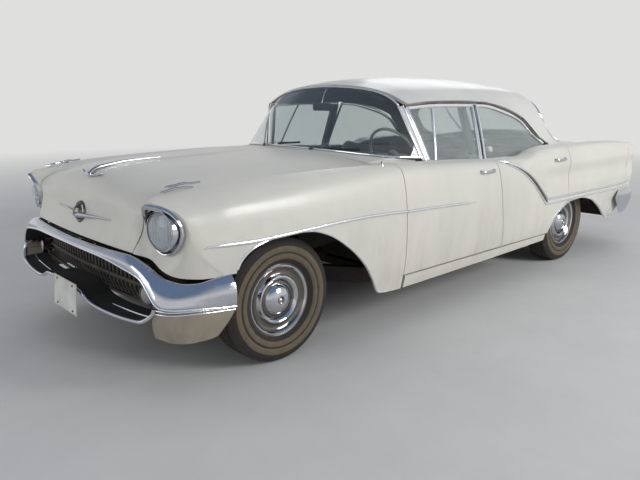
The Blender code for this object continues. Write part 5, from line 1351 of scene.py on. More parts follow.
def headlamps():
    """Sealed beams with their chrome hooded rims."""
    axis = LAMP_AXIS
    centre = LAMP_CENTRE
    out = Vector((-axis.y, axis.x, 0.0))
    up = Vector((0.0, 0.0, 1.0))
    lens = turned("lens", ((0.038, 0.0), (0.037, 0.020), (0.034, 0.040), (0.028, 0.060), (0.020, 0.077),
                           (0.012, 0.088),
                           (0.004, 0.0885), (0.004, 0.0)), centre, axis, "lens", 64)
    flutes = []
    for k in range(-4, 5):
        shift = k * 0.016
        reach = math.sqrt(0.082 ** 2 - shift ** 2)
        path = [centre + out * shift + up * z + axis * 0.003 for z in (-reach, reach)]
        flutes.append(bar("flute", path, oval(0.005, 0.004, 6), "lens", axis))
    bowl = turned("bowl", ((-0.012, 0.0885), (-0.016, 0.0915), (-0.050, 0.080), (-0.085, 0.052),
                           (-0.100, 0.0), (-0.096, 0.0),
                           (-0.081, 0.050), (-0.048, 0.076)), centre, axis, "chrome", 48)
    retainer = turned("retainer", ((-0.030, 0.0890), (-0.030, 0.0940), (0.013, 0.0945), (0.018, 0.0925),
                                   (0.018, 0.0890)),
                      centre, axis, "chrome", 64)
    angles, depths, radii = (knots(BROW, k) for k in range(3))
    rings = [[] for _ in range(9)]
    for k in range(90):
        a = 360.0 * k / 90 - 90.0
        depth = smooth(angles, depths, a)
        radius = smooth(angles, radii, a)
        section = ((-0.040, 0.0955), (depth * 0.5 - 0.012, 0.0960),
                   (depth - 0.007, max(0.0965, radius - 0.010 - 0.013 * ease(depth, 0.0, 0.05))),
                   (depth, radius - 0.007), (depth + 0.0015, radius - 0.0035), (depth - 0.001, radius),
                   (depth - 0.012, radius + 0.002), (-0.035, radius + 0.001), (-0.050, 0.107))
        for ring_points, (d, r) in zip(rings, section):
            way = out * math.cos(math.radians(a)) + up * math.sin(math.radians(a))
            ring_points.append(centre + axis * d + way * r)
    rim = loft("brow", rings, "chrome", True, 40.0)
    # Faces turned in towards the lamp take the dark plating: painted shade under the hooded brow
    rim.data.materials.append(MAT["dish"])
    for polygon in rim.data.polygons:
        gap = polygon.center - centre
        radial = (gap - axis * gap.dot(axis)).normalized()
        if polygon.normal.dot(radial) < -0.5:
            polygon.material_index = 1
    both(join("headlamp_rim_left", [rim, retainer]), "body", "chrome", "headlamp_left")
    both(join("headlamp_lens_left", [lens] + flutes), "body", "lamp")
    both(body_named(bowl, "headlamp_bowl_left"), "body", "chrome")


def wheel_cover(name, centre, sign, body, node):
    """Steel rim with its chrome cover: outer band, dark dish and pointed centre."""
    axis = (0.0, sign, 0.0)
    face = 0.066
    rim = turned(name + "_rim", ((-0.070, 0.187), (-0.064, 0.197), (-0.050, 0.187), (-0.030, 0.165),
                                 (0.030, 0.165),
                                 (0.050, 0.187), (0.064, 0.1975), (0.071, 0.200), (0.074, 0.197),
                                 (0.068, 0.186),
                                 (0.050, 0.176), (0.020, 0.150), (-0.030, 0.150), (-0.055, 0.176)), centre,
                 axis, "steel", 72)
    profile = ((-0.020, 0.0), (-0.020, 0.182), (0.003, 0.1915), (0.009, 0.188), (0.0085, 0.182),
               (0.002, 0.176), (-0.008, 0.166),
               (-0.012, 0.151), (-0.010, 0.140), (-0.002, 0.133), (0.005, 0.128), (0.007, 0.121),
               (0.003, 0.113), (-0.005, 0.107),
               (-0.012, 0.099), (-0.012, 0.088), (-0.008, 0.082), (0.001, 0.076), (0.011, 0.062),
               (0.018, 0.045), (0.022, 0.028),
               (0.0215, 0.022), (0.017, 0.017), (0.016, 0.012), (0.020, 0.008), (0.022, 0.0))
    cover = turned(name + "_cover", [(face + x, r) for x, r in profile], centre, axis, "chrome", 96, 25.0)
    cover.data.materials.append(MAT["dish"])
    for polygon in cover.data.polygons:
        gap = polygon.center - Vector(centre)
        radius = math.hypot(gap.x, gap.z)
        if (0.138 < radius < 0.175 or 0.084 < radius < 0.107
            or 0.012 < radius < 0.021) and gap.y * sign > 0.03:
            polygon.material_index = 1
    finish_piece(join(name, [rim, cover]), body, "chrome", node)


def tyre(name, centre, sign, body, node):
    """Tyre with ribbed tread and bulging walls with bands."""
    r0 = RIM_RADIUS
    half = TYRE_WIDTH / 2
    outer = TYRE_RADIUS
    profile = []
    grooves = (-0.052, -0.018, 0.018, 0.052)
    walls = ((0.070, r0 - 0.004), (0.078, r0 + 0.006), (0.0845, 0.213), (0.0890, 0.222), (0.0935, 0.226),
             (0.0965, 0.236),
             (0.0960, 0.248), (0.0925, 0.252), (0.0925, 0.260), (0.0965, 0.265), (half, 0.275),
             (0.0960, 0.292),
             (half * 0.93, outer - 0.026), (half * 0.88, outer - 0.016))
    for depth, radius in walls:
        profile.append((depth, radius))
    profile.append((0.077, outer - 0.006))
    for g in reversed(grooves):
        profile += [(g + 0.0065, outer - 0.0022), (g + 0.0035, outer - 0.010), (g - 0.0035, outer - 0.010),
                    (g - 0.0065, outer - 0.0022)]
        profile.append((g - 0.017, outer - 0.0008))
    profile[-1] = (-0.077, outer - 0.006)
    for depth, radius in reversed(walls):
        profile.append((-depth, radius))
    profile += [(-0.060, r0 + 0.004), (0.060, r0 + 0.004)]
    thing = turned(name, profile, centre, (0.0, sign, 0.0), "tread", 144, 32.0)
    thing.data.materials.append(MAT["wall"])
    thing.data.materials.append(MAT["tyre_band"])
    for polygon in thing.data.polygons:
        gap = polygon.center - Vector(centre)
        radius = math.hypot(gap.x, gap.z)
        if radius < outer - 0.012 and abs(gap.y) > 0.062:
            tan = 0.222 < radius < 0.251 or 0.262 < radius < 0.300
            polygon.material_index = 1 if tan and gap.y * sign > 0.0 else 2
    finish_piece(thing, body, "tyre", node)


def wheels():
    for end, x, track in (("front", FRONT_AXLE_X, FRONT_TRACK), ("rear", REAR_AXLE_X, REAR_TRACK)):
        for name, sign in SIDES:
            centre = Vector((x, sign * track / 2, TYRE_RADIUS))
            body = "wheel_%s_%s" % (end, name)
            wheel_cover("cover_%s_%s" % (end, name), centre, sign, body, body)
            tyre("dressed_tyre_%s_%s" % (end, name), centre, sign, body, "tyre_%s_%s" % (end, name))


def ornaments():
    """Bare ornaments of the nose: wings, blade, boss with a bar, and the fender blades."""
    wings = []
    for sign in (1.0, -1.0):
        path = []
        for u in spread(0.0, 1.0, 14):
            p = hood_over(2.400 - 0.015 * u ** 1.3, sign * 0.120 * u)
            path.append(Vector((p.x, p.y, max(p.z + 0.006, 0.952 + 0.036 * u))))
        wings.append(bar("wing", path, oval(0.026, 0.014, 12), "chrome", (0.0, 0.0, 1.0), 40.0,
                         lambda k: 1.0 - 0.55 * k / 13.0))
    blade = []
    for u in spread(0.0, 1.0, 30):
        p = hood_over(2.405 - 0.420 * u, 0.0)
        blade.append(p + Vector((0.0, 0.0, 0.004 + 0.012 * math.exp(-(u / 0.26) ** 2))))
    wings.append(bar("blade", blade, oval(0.016, 0.016, 12), "chrome", (0.0, 0.0, 1.0), 40.0,
                     lambda k: 1.5 - 1.2 * k / 29.0))
    finish_piece(join("hood_ornament", wings), "hood", "chrome")
    boss = turned("boss", ((-0.012, 0.0), (-0.012, 0.060), (0.002, 0.060), (0.010, 0.057), (0.014, 0.050),
                           (0.012, 0.044),
                           (0.022, 0.038), (0.034, 0.026), (0.040, 0.012), (0.042, 0.0)),
                  hood_front(0.0, 0.781), (1.0, 0.0, 0.12), "dish", 48)
    spear = [hood_front(y, 0.770 + 0.012 * abs(y) / 0.34) + Vector((0.030 - 0.026 * min(1.0, abs(y) / 0.20),
            0.0, 0.0)) for y in spread(-0.34, 0.34, 41)]
    bar_piece = bar("boss_bar", spear, oval(0.030, 0.018, 12), "chrome", (1.0, 0.0, 0.0), 40.0,
                    lambda k: 1.0 - 0.85 * (abs(k - 20.0) / 20.0) ** 0.8)
    finish_piece(join("nose_boss", [boss, bar_piece]), "hood", "chrome")
    blades = []
    for front, rear, inward, rise in ((2.335, 2.165, 0.676, 0.026), (2.380, 2.225, 0.712, 0.010)):
        path = []
        for u in spread(0.0, 1.0, 22):
            x = front + (rear - front) * u
            p = fender_over(x, inward + 0.032 * u)
            low = rise + 0.946 + 0.012 * u
            path.append(Vector((p.x, p.y, max(low, p.z + 0.003 + rise * math.sin(math.pi * min(1.0,
                    0.12 + 0.9 * u))))))
        blades.append(bar("fender_blade", path, oval(0.012, 0.015, 10), "chrome", (0.0, 0.0, 1.0), 40.0,
                          lambda k: min(1.0, 0.35 + k / 5.0) * (1.0 - 0.4 * k / 21.0)))
    both(join("fender_ornament_left", blades), "body", "chrome")


def drop_on(thing, x, y, high=1.3):
    """Point of a mesh straight below (x, y)."""
    hit, place, _, _ = thing.ray_cast(thing.matrix_world.inverted() @ Vector((x, y, high)),
                                      Vector((0.0, 0.0, -1.0)))
    return thing.matrix_world @ place if hit else Vector((x, y, 0.9))


def press_on(thing, y, z, far=3.0):
    """Point of a mesh straight behind (y, z), seen from the front."""
    hit, place, _, _ = thing.ray_cast(Vector((far, y, z)), Vector((-1.0, 0.0, 0.0)))
    return thing.matrix_world @ place if hit else Vector((2.45, y, z))


def hood_over(x, y):
    return drop_on(bpy.data.objects["hood_skin"], x, y)


def hood_front(y, z):
    return press_on(bpy.data.objects["hood_skin"], y, z)


def fender_over(x, y):
    p = drop_on(bpy.data.objects["fender_left_skin"], x, y)
    return p if p.z > 0.91 else drop_on(bpy.data.objects["hood_skin"], x, y)


# Front bumper. Each row: station, then x, y, z of the top edge and of the lower edge of its face
BAND_ROWS = (
    (0.0, (2.532, 0.000, 0.655), (2.561, 0.000, 0.633)),
    (1.0, (2.528, 0.200, 0.657), (2.557, 0.200, 0.631)),
    (2.0, (2.520, 0.400, 0.660), (2.549, 0.400, 0.627)),
    (3.0, (2.504, 0.600, 0.664), (2.535, 0.608, 0.607)),
    (3.6, (2.482, 0.730, 0.632), (2.520, 0.738, 0.581)),
    (4.0, (2.466, 0.790, 0.603), (2.514, 0.802, 0.525)),
    (4.3, (2.448, 0.825, 0.583), (2.507, 0.838, 0.484)),
    (4.6, (2.425, 0.853, 0.571), (2.493, 0.865, 0.466)),
    (5.0, (2.385, 0.885, 0.560), (2.445, 0.912, 0.459)),
    (5.4, (2.330, 0.908, 0.557), (2.385, 0.937, 0.456)),
    (5.8, (2.245, 0.927, 0.568), (2.280, 0.957, 0.442)),
    (6.2, (2.158, 0.938, 0.575), (2.158, 0.9690, 0.428)),
)
# Pan under the band from the mouth's end to the wheel, with the columns top, rib, groove, rib, middle, foot
PAN_ROWS = (
    (4.0, (2.500, 0.815, 0.470), (2.512, 0.826, 0.455), (2.498, 0.815, 0.447), (2.510, 0.825, 0.437),
     (2.508, 0.812, 0.370), (2.480, 0.775, 0.300)),
    (4.5, (2.455, 0.878, 0.462), (2.468, 0.892, 0.449), (2.455, 0.878, 0.442), (2.467, 0.890, 0.434),
     (2.458, 0.880, 0.365), (2.430, 0.855, 0.282)),
    (5.0, (2.375, 0.920, 0.458), (2.388, 0.936, 0.446), (2.376, 0.921, 0.440), (2.387, 0.934, 0.432),
     (2.372, 0.920, 0.362), (2.350, 0.895, 0.275)),
    (5.5, (2.270, 0.940, 0.448), (2.280, 0.956, 0.437), (2.272, 0.941, 0.431), (2.279, 0.954, 0.423),
     (2.268, 0.938, 0.358), (2.262, 0.902, 0.274)),
    (6.0, (2.160, 0.950, 0.436), (2.158, 0.966, 0.426), (2.163, 0.950, 0.420), (2.160, 0.960, 0.412),
     (2.180, 0.934, 0.350), (2.212, 0.892, 0.276)),
)
LIP_LINE = ((2.600, 0.0, 0.436), (2.598, 0.10, 0.434), (2.593, 0.213, 0.424), (2.589, 0.30, 0.392),
            (2.584, 0.40, 0.378), (2.571, 0.573, 0.378),
            (2.548, 0.738, 0.387), (2.531, 0.791, 0.402), (2.513, 0.829, 0.434), (2.508, 0.836, 0.462))
TRAY_LINE = ((2.520, 0.0, 0.395), (2.514, 0.237, 0.374), (2.505, 0.462, 0.380), (2.490, 0.652, 0.386),
             (2.478, 0.74, 0.392), (2.468, 0.79, 0.405))


def band_section(s):
    """Section of the bumper face at a station: rolled top, brow, bulging face, lower edge."""
    top, foot = rib(BAND_ROWS, s)
    way = Vector((foot.x - top.x, foot.y - top.y, 0.0))
    if s < 2.5:
        way = Vector((1.0, 0.0, 0.0))
    way.normalize()
    tall = top.z - foot.z
    back = top - way * 0.034 - Vector((0.0, 0.0, 0.006))
    if s > 6.1:
        back = top - Vector((0.0, 0.03, 0.006))
    brow = top.lerp(foot, 0.42) + way * (0.008 + 0.10 * tall)
    face = top.lerp(foot, 0.78) + way * (0.005 + 0.05 * tall)
    return [back, top, brow, face, foot]


def rows_grid(table, stations, steps):
    """Grid of points from a table of rows."""
    return [[across(rib(table, s), t) for t in steps] for s in stations]


def bumper_front():
    """Wrapped front bumper: band with its bead, pan with two ribs, lower lip and inner tray."""
    steps = spread(0.0, 4.0, 26)
    half = [[across(band_section(s), t) for t in steps] for s in spread(0.0, 6.2, 76)]
    band = shell("bumper_band", full_rows(half), 0.004, "chrome", (1.9, 0.0, 0.47))
    bead = [row[-1] for row in full_rows(half)]
    parts = [band, bar("mouth_bead", bead, oval(0.010, 0.012, 12), "bright", (0.0, 0.0, 1.0))]
    lip = spline(LIP_LINE, 8)
    whole = full_width(lip)
    parts.append(bar("lower_lip", whole, oval(0.022, 0.018, 14, 0.8), "chrome", (0.0, 0.0, 1.0)))
    inner = spline(TRAY_LINE, 8)
    whole = full_width(inner)
    parts.append(bar("tray_lip", whole, oval(0.010, 0.010, 10), "bright", (0.0, 0.0, 1.0)))
    # The tray and the caps below, inside the mouth, are near-black: painted shade
    tray = []
    for a in lip[:-1]:
        if a.y > 0.79:
            break
        tray.append([a + Vector((-0.006, 0.0, -0.004)), a + Vector((-0.06, 0.0, 0.0)),
                     a + Vector((-0.14, -0.02, 0.004))])
    whole = full_rows(tray)
    parts.append(shell("tray", whole, 0.004, "mouth_shade", (2.45, 0.0, 0.9)))
    caps = []
    for s in spread(4.2, 2.6, 12):
        foot = band_section(s)[-1]
        caps.append([foot, foot + Vector((-0.05, -0.012, 0.0)), foot + Vector((-0.11, -0.03, 0.0))])
    for sign in (1.0, -1.0):
        grid = [[Vector((p.x, p.y * sign, p.z)) for p in row] for row in caps]
        parts.append(shell("mouth_cap", grid, 0.004, "mouth_shade", (2.45, 0.0, 0.9)))
    finish_piece(join("front_bumper_skin", parts), "body", "chrome", "front_bumper")
    grid = rows_grid(PAN_ROWS, spread(4.0, 6.0, 40), spread(0.0, 5.0, 40))
    grid = [[grid[0][k] + Vector((-0.10, -0.02, 0.0)) for k in range(40)]] + grid
    # The pan is chrome; its tan colour is a painted reflection of the ground
    pan = shell("pan_left", grid, 0.004, "pan", (2.0, 0.0, 0.40))
    both(pan, "body", "chrome")
    for name, column, high in (("rib_high_left", 1.0, 0.009), ("rib_low_left", 3.0, 0.009)):
        path = [across(rib(PAN_ROWS, s), column) for s in spread(4.0, 6.0, 40)]
        both(bar(name, path, oval(high, 0.008, 12), "bright", (0.0, 0.0, 1.0)), "body", "chrome")


def spline(points, steps):
    """Smooth line through a few points."""
    pts = [Vector(p) for p in points]
    out = []
    for k in range(len(pts) - 1):
        before = pts[max(k - 1, 0)]
        after = pts[min(k + 2, len(pts) - 1)]
        a, b = pts[k], pts[k + 1]
        for c in range(steps):
            u = c / steps
            out.append(0.5 * ((2 * a) + (b - before) * u + (2 * before - 5 * a + 4 * b - after) * u * u
                              + (3 * a - before - 3 * b + after) * u ** 3))
    out.append(pts[-1])
    return out


def cuboid(name, centre, size, material, turn=None):
    """Box about its centre, turned by an optional matrix."""
    points = []
    for x in (-0.5, 0.5):
        for y in (-0.5, 0.5):
            for z in (-0.5, 0.5):
                p = Vector((x * size[0], y * size[1], z * size[2]))
                points.append(Vector(centre) + (turn @ p if turn else p))
    faces = [(0, 1, 3, 2), (4, 6, 7, 5), (0, 4, 5, 1), (2, 3, 7, 6), (0, 2, 6, 4), (1, 5, 7, 3)]
    return mesh_object(name, points, faces, material)


def grille_front():
    """Dark grille behind the mouth: upright slats on a recessed panel, a middle rail, round parking lamps."""
    def face(y, shift):
        return 2.440 + shift - 0.055 * (y / 0.8) ** 2

    parts = []
    # The recessed back panel is near-black: painted shade behind the slats
    back = [[Vector((face(y, -0.05), y, z)) for z in spread(0.385, 0.645, 6)] for y in spread(-0.82, 0.82,
            36)]
    parts.append(shell("grille_back", back, 0.004, "mouth_shade", (1.9, 0.0, 0.5)))
    for y in spread(-0.60, 0.60, 31):
        path = [(face(y, -0.020), y, 0.410), (face(y, 0.0), y, 0.46), (face(y, 0.0), y, 0.54),
                (face(y, -0.010), y, 0.618)]
        parts.append(bar("slat", path, oval(0.012, 0.018, 8), "grille", (0.0, 1.0, 0.0)))
    for z, reach in ((0.622, 0.62), (0.408, 0.74)):
        path = [(face(y, 0.006), y, z) for y in spread(-reach, reach, 24)]
        parts.append(bar("rail", path, oval(0.016, 0.014, 8, 0.7), "grille", (0.0, 0.0, 1.0)))
    middle = [(face(y, 0.008), y, 0.492) for y in spread(-0.62, 0.62, 30)]
    parts.append(bar("middle_rail", middle, oval(0.014, 0.020, 10, 0.7), "grille", (0.0, 0.0, 1.0)))
    finish_piece(join("grille_skin", parts), "body", "trim", "grille")
    lamp = Vector((2.450, 0.668, 0.474))
    axis = Vector((0.97, 0.24, 0.0))
    body = turned("parking_body", ((-0.07, 0.0), (-0.07, 0.034), (0.000, 0.046), (0.008, 0.048),
                                   (0.012, 0.045), (0.012, 0.040),
                                   (0.002, 0.038), (0.002, 0.0)), lamp, axis, "dish", 40)
    lens = turned("parking_lens", ((0.0, 0.0), (0.0, 0.039), (0.008, 0.039), (0.014, 0.029), (0.017, 0.012),
                                   (0.018, 0.0)),
                  lamp, axis, "parking", 40)
    both(body_named(body, "parking_ring_left"), "body", "chrome")
    both(body_named(lens, "parking_lens_left"), "body", "lamp")


def body_named(thing, name):
    """Rename a piece so that its mirror image gets the other side's name."""
    thing.name = name
    return thing


def plate():
    """Blank licence plate with its rim and four bolts."""
    turn = Matrix.Rotation(math.radians(-4.0), 3, "Y")
    centre = Vector((2.621, 0.093, 0.378))
    parts = [cuboid("plate_face", centre, (0.0025, 0.300, 0.165), "plate", turn)]
    rim = [(0.0, -0.146, -0.078), (0.0, 0.146, -0.078), (0.0, 0.146, 0.078), (0.0, -0.146, 0.078),
           (0.0, -0.146, -0.078)]
    for a, b in zip(rim, rim[1:]):
        ends = [centre + turn @ (Vector(p) + Vector((0.0022, 0.0, 0.0))) for p in (a, b)]
        parts.append(bar("rim", ends, oval(0.004, 0.003, 6), "plate", (1.0, 0.0, 0.0)))
    for y, z in ((-0.10, 0.066), (0.10, 0.066), (-0.10, -0.066), (0.10, -0.066)):
        parts.append(turned("bolt", ((-0.01, 0.0), (-0.01, 0.006), (0.004, 0.006), (0.006, 0.003),
                                     (0.006, 0.0)),
                            centre + turn @ Vector((0.0, y, z)), (1.0, 0.0, 0.0), "steel", 12))
    bracket = cuboid("holder", centre + Vector((-0.022, 0.0, 0.045)), (0.040, 0.11, 0.016), "steel", turn)
    finish_piece(join("front_plate", parts + [bracket]), "body", "trim")


# Rear bumper. Each row: station, then x, y, z of the columns top lip, top, face, groove, foot
BUMPER_BACK = (
    (0.0, (-2.570, 0.000, 0.566), (-2.618, 0.000, 0.562), (-2.642, 0.000, 0.500), (-2.636, 0.000, 0.420),
     (-2.600, 0.000, 0.345)),
    (1.0, (-2.560, 0.400, 0.566), (-2.608, 0.400, 0.561), (-2.634, 0.400, 0.500), (-2.628, 0.400, 0.418),
     (-2.590, 0.400, 0.343)),
    (2.0, (-2.504, 0.716, 0.560), (-2.552, 0.732, 0.556), (-2.586, 0.748, 0.494), (-2.580, 0.744, 0.410),
     (-2.544, 0.728, 0.330)),
    (3.0, (-2.396, 0.868, 0.548), (-2.430, 0.898, 0.545), (-2.450, 0.922, 0.485), (-2.446, 0.918, 0.400),
     (-2.416, 0.896, 0.312)),
    (4.0, (-2.090, 0.930, 0.540), (-2.070, 0.952, 0.536), (-1.990, 0.9690, 0.480), (-2.060, 0.962, 0.400),
     (-2.190, 0.930, 0.312)),
)


def bumper_rear():
    """Wrapped rear bumper with two upright guards."""
    half = rows_grid(BUMPER_BACK, spread(0.0, 4.0, 60), spread(0.0, 4.0, 30))
    parts = [shell("bumper_bar", full_rows(half), 0.004, "chrome", (-1.9, 0.0, 0.45))]
    for sign in (1.0, -1.0):
        path = spline([(-2.590, 0.52 * sign, 0.580), (-2.618, 0.52 * sign, 0.540),
                       (-2.632, 0.52 * sign, 0.460),
                       (-2.622, 0.52 * sign, 0.380), (-2.590, 0.52 * sign, 0.330)], 6)
        parts.append(bar("guard", path, oval(0.022, 0.056, 14, 0.8), "chrome", (0.0, 1.0, 0.0)))
    finish_piece(join("rear_bumper_skin", parts), "body", "chrome", "rear_bumper")
    panel = cuboid("back_plate", (-2.642, 0.0, 0.470), (0.0025, 0.300, 0.150), "plate")
    finish_piece(panel, "body", "trim")


def tail():
    """Tail lamps with chrome bezels in painted surrounds, and the trunk handle."""
    centre = Vector((-2.446, 0.762, 0.726))
    lens = []
    for depth, wide, high in ((0.0, 0.086, 0.104), (-0.020, 0.082, 0.100), (-0.034, 0.066, 0.082),
                              (-0.042, 0.040, 0.050),
                              (-0.045, 0.008, 0.010)):
        loop = []
        for k in range(40):
            a = math.tau * k / 40
            loop.append(centre + Vector((depth, wide * math.cos(a), high * math.sin(a))))
        lens.append(loop)
    piece = loft("tail_lamp_lens_left", lens, "red", True, 50.0)
    rim = []
    for k in range(61):
        a = math.tau * k / 60
        rim.append(centre + Vector((-0.004, 0.094 * math.cos(a), 0.112 * math.sin(a))))
    bezel = bar("tail_lamp_bezel_left", rim, oval(0.020, 0.016, 12), "chrome", (1.0, 0.0, 0.0))
    face = []
    for depth, wide, high in ((0.050, 0.122, 0.130), (0.004, 0.120, 0.128), (0.0, 0.114, 0.122),
                              (0.0, 0.060, 0.060)):
        loop = []
        for k in range(40):
            a = math.tau * k / 40
            c, s = math.cos(a), math.sin(a)
            loop.append(centre + Vector((depth, wide * math.copysign(abs(c) ** 0.7, c),
                                         high * math.copysign(abs(s) ** 0.7, s))))
        face.append(loop)
    both(loft("tail_lamp_face_left", face, "paint", True), "body", "paint", "tail_lamp_left")
    both(piece, "body", "red")
    both(bezel, "body", "chrome")
    grip = spline([(-2.470, -0.07, 0.668), (-2.486, -0.05, 0.668), (-2.490, 0.0, 0.668),
                   (-2.486, 0.05, 0.668), (-2.470, 0.07, 0.668)], 5)
    handle_bar = bar("trunk_grip", grip, oval(0.018, 0.012, 10), "chrome", (0.0, 0.0, 1.0))
    finish_piece(handle_bar, "trunk_lid", "chrome")


def mirror_inside():
    """Rear-view mirror on its stalk."""
    head = [Vector((0.722, y, 1.301)) for y in (-0.084, -0.072, 0.0, 0.072, 0.084)]
    glass = bar("mirror_head", head, oval(0.052, 0.016, 14, 0.6), "rubber", (1.0, 0.0, 0.0))
    stalk = bar("mirror_stalk", [(0.722, 0.0, 1.318), (0.704, 0.0, 1.38), (0.672, 0.0, 1.430)],
                oval(0.010, 0.010, 8), "chrome", (0.0, 1.0, 0.0))
    finish_piece(join("mirror", [glass, stalk]), "body", "chrome")


def wipers():
    """Two wipers with their arms at the foot of the windscreen."""
    for name, root, tip in (("left", (0.985, 0.17, 1.034), (0.905, 0.55, 1.046)),
                            ("right", (0.985, -0.32, 1.034), (0.975, 0.06, 1.070))):
        a, b = Vector(root), Vector(tip)
        pivot = turned("pivot", ((-0.02, 0.0), (-0.02, 0.012), (0.010, 0.010), (0.014, 0.0)), a,
                       (0.3, 0.0, 1.0), "steel", 16)
        arm = bar("arm", spline([a + Vector((0, 0, 0.012)), a.lerp(b, 0.4) + Vector((0.004, 0, 0.016)),
                                 a.lerp(b, 0.72) + Vector((0.002, 0, 0.010))], 6),
                  oval(0.007, 0.004, 8), "steel", (0.0, 0.0, 1.0))
        share = [a.lerp(b, u) + Vector((0.002, 0.0, 0.006)) for u in spread(0.40, 1.0, 10)]
        blade = bar("blade", share, oval(0.006, 0.012, 8), "rubber", (0.0, 0.0, 1.0))
        finish_piece(join("wiper_" + name, [pivot, arm, blade]), "body", "trim")


def antenna():
    """Short aerial on the left-hand cowl side."""
    base = Vector((1.035, 0.845, 0.985))
    mount = turned("aerial_base", ((-0.01, 0.0), (-0.01, 0.014), (0.008, 0.012), (0.018, 0.006), (0.03, 0.0)),
                   base, (0.0, 0.0, 1.0), "chrome", 20)
    rod = bar("rod", [base + Vector((0, 0, 0.01)), base + Vector((-0.01, 0.004, 0.055))],
              oval(0.005, 0.005, 8), "chrome", (1.0, 0.0, 0.0))
    finish_piece(join("aerial", [mount, rod]), "body", "chrome")


def rear_window_trim():
    """Bright frame and the two bars of the wrapped rear window."""
    first, last, wide = REAR_WINDOW
    path = []
    for t in spread(0.0, wide - 0.22, 16):
        path.append(roof_point(first + 0.02, t))
    for s, t in ((first + 0.03, wide - 0.10), (first + 0.10, wide - 0.03)):
        path.append(roof_point(s, t))
    for s in spread(first + 0.20, last - 0.20, 14):
        path.append(roof_point(s, wide - 0.01))
    for s, t in ((last - 0.10, wide - 0.03), (last - 0.03, wide - 0.10)):
        path.append(roof_point(s, t))
    for t in spread(wide - 0.22, 0.0, 16):
        path.append(roof_point(last - 0.02, t))
    lift = Vector((-0.002, 0.0, 0.002))
    loop = [p + lift for p in path]
    ring_path = loop + [Vector((p.x, -p.y, p.z)) for p in reversed(loop[:-1])]
    ring_path = [Vector((p.x, p.y, p.z)) for p in ring_path]
    parts = [bar("window_ring", ring_path, oval(0.016, 0.012, 10), "bright", (0.3, 0.0, 1.0))]
    for sign in (1.0, -1.0):
        line = [roof_point(s, 1.30) for s in spread(first, last, 20)]
        line = [Vector((p.x, p.y * sign, p.z)) for p in line]
        parts.append(bar("window_bar", line, oval(0.020, 0.014, 10), "bright", (0.5, sign * 0.5, 0.7)))
    finish_piece(join("rear_window_frame", parts), "body", "chrome")


def wheel_walls():
    """Dark inner walls of the rear wheelhouses."""
    grid = []
    for x in spread(-0.88, -2.02, 30):
        low = 0.300 + 0.05 * math.exp(-((x + 1.45) / 0.3) ** 2)
        grid.append([Vector((x, 0.585, low + (0.86 - low) * k / 5.0)) for k in range(6)])
    for x, y in ((-2.03, 0.600), (-2.03, 0.70), (-2.03, 0.80), (-2.03, 0.900)):
        grid.append([Vector((x, y, 0.300 + 0.56 * k / 5.0)) for k in range(6)])
    both(shell("wheel_wall_left", grid, 0.003, "dark", (-1.4, 0.0, 0.6)), "body", "chassis")


CUSHION_STEP = 0.017
PAD_SHRINK = 0.016


def padded_bench(name, outline, half, fixed, node, channels):
    """Upholstered bench piece: a smaller block blown up by cloth simulation, then sewn channels."""
    middle = [sum(p[k] for p in outline) / len(outline) for k in (0, 1)]
    small = []
    for x, z in outline:
        gap = math.hypot(x - middle[0], z - middle[1])
        share = 1.0 - PAD_SHRINK / gap
        small.append((middle[0] + (x - middle[0]) * share, middle[1] + (z - middle[1]) * share))
    ends = []
    for y, share in ((-half + PAD_SHRINK, 0.80), (-half + PAD_SHRINK + 0.03, 1.0),
                     (half - PAD_SHRINK - 0.03, 1.0), (half - PAD_SHRINK, 0.80)):
        ends.append([Vector((middle[0] + (x - middle[0]) * share, y,
                             middle[1] + (z - middle[1]) * share)) for x, z in small])
    pad = loft(name + "_core", ends, "seat")
    remesh = pad.modifiers.new("even", "REMESH")
    remesh.mode = "VOXEL"
    remesh.voxel_size = CUSHION_STEP
    mesh = applied(pad)
    start = [v.co.copy() for v in mesh.vertices]
    cloth = pad.modifiers.new("swell", "CLOTH")
    cloth.settings.quality = 4
    cloth.settings.mass = 0.3
    cloth.settings.use_pressure = True
    cloth.settings.uniform_pressure_force = 4.0
    cloth.settings.effector_weights.gravity = 0.0
    cloth.point_cache.frame_start = 1
    cloth.point_cache.frame_end = 20
    for k in range(1, 21):
        bpy.context.scene.frame_set(k)
        graph = bpy.context.evaluated_depsgraph_get()
        pad.evaluated_get(graph)
    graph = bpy.context.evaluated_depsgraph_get()
    done = pad.evaluated_get(graph).to_mesh()
    for v, old, new in zip(mesh.vertices, start, done.vertices):
        move = new.co - old
        if move.length > 0.026:
            move *= 0.026 / move.length
        v.co = old + move * fixed(old)
    pad.evaluated_get(graph).to_mesh_clear()
    pad.modifiers.clear()
    bpy.context.scene.frame_set(1)
    finer = pad.modifiers.new("finer", "SUBSURF")
    finer.levels = 1
    finer.render_levels = 1
    mesh = applied(pad)
    normals = [v.normal.copy() for v in mesh.vertices]
    for v, normal in zip(mesh.vertices, normals):
        v.co = channels(v.co.copy(), normal)
    mesh.materials.clear()
    mesh.materials.append(MAT["seat"])
    mesh.materials.append(MAT["bolster"])
    for polygon in mesh.polygons:
        if abs(polygon.center.y) > half - 0.105 or polygon.center.z < outline[0][1] + 0.035:
            polygon.material_index = 1
    mesh.shade_smooth()
    pad.name = name
    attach(pad, "body")
    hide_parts(node)
    return pad


def applied(thing):
    """Mesh with the thing's modifiers applied."""
    graph = bpy.context.evaluated_depsgraph_get()
    mesh = bpy.data.meshes.new_from_object(thing.evaluated_get(graph))
    thing.modifiers.clear()
    thing.data = mesh
    return mesh


PLEAT_STEP = 0.090


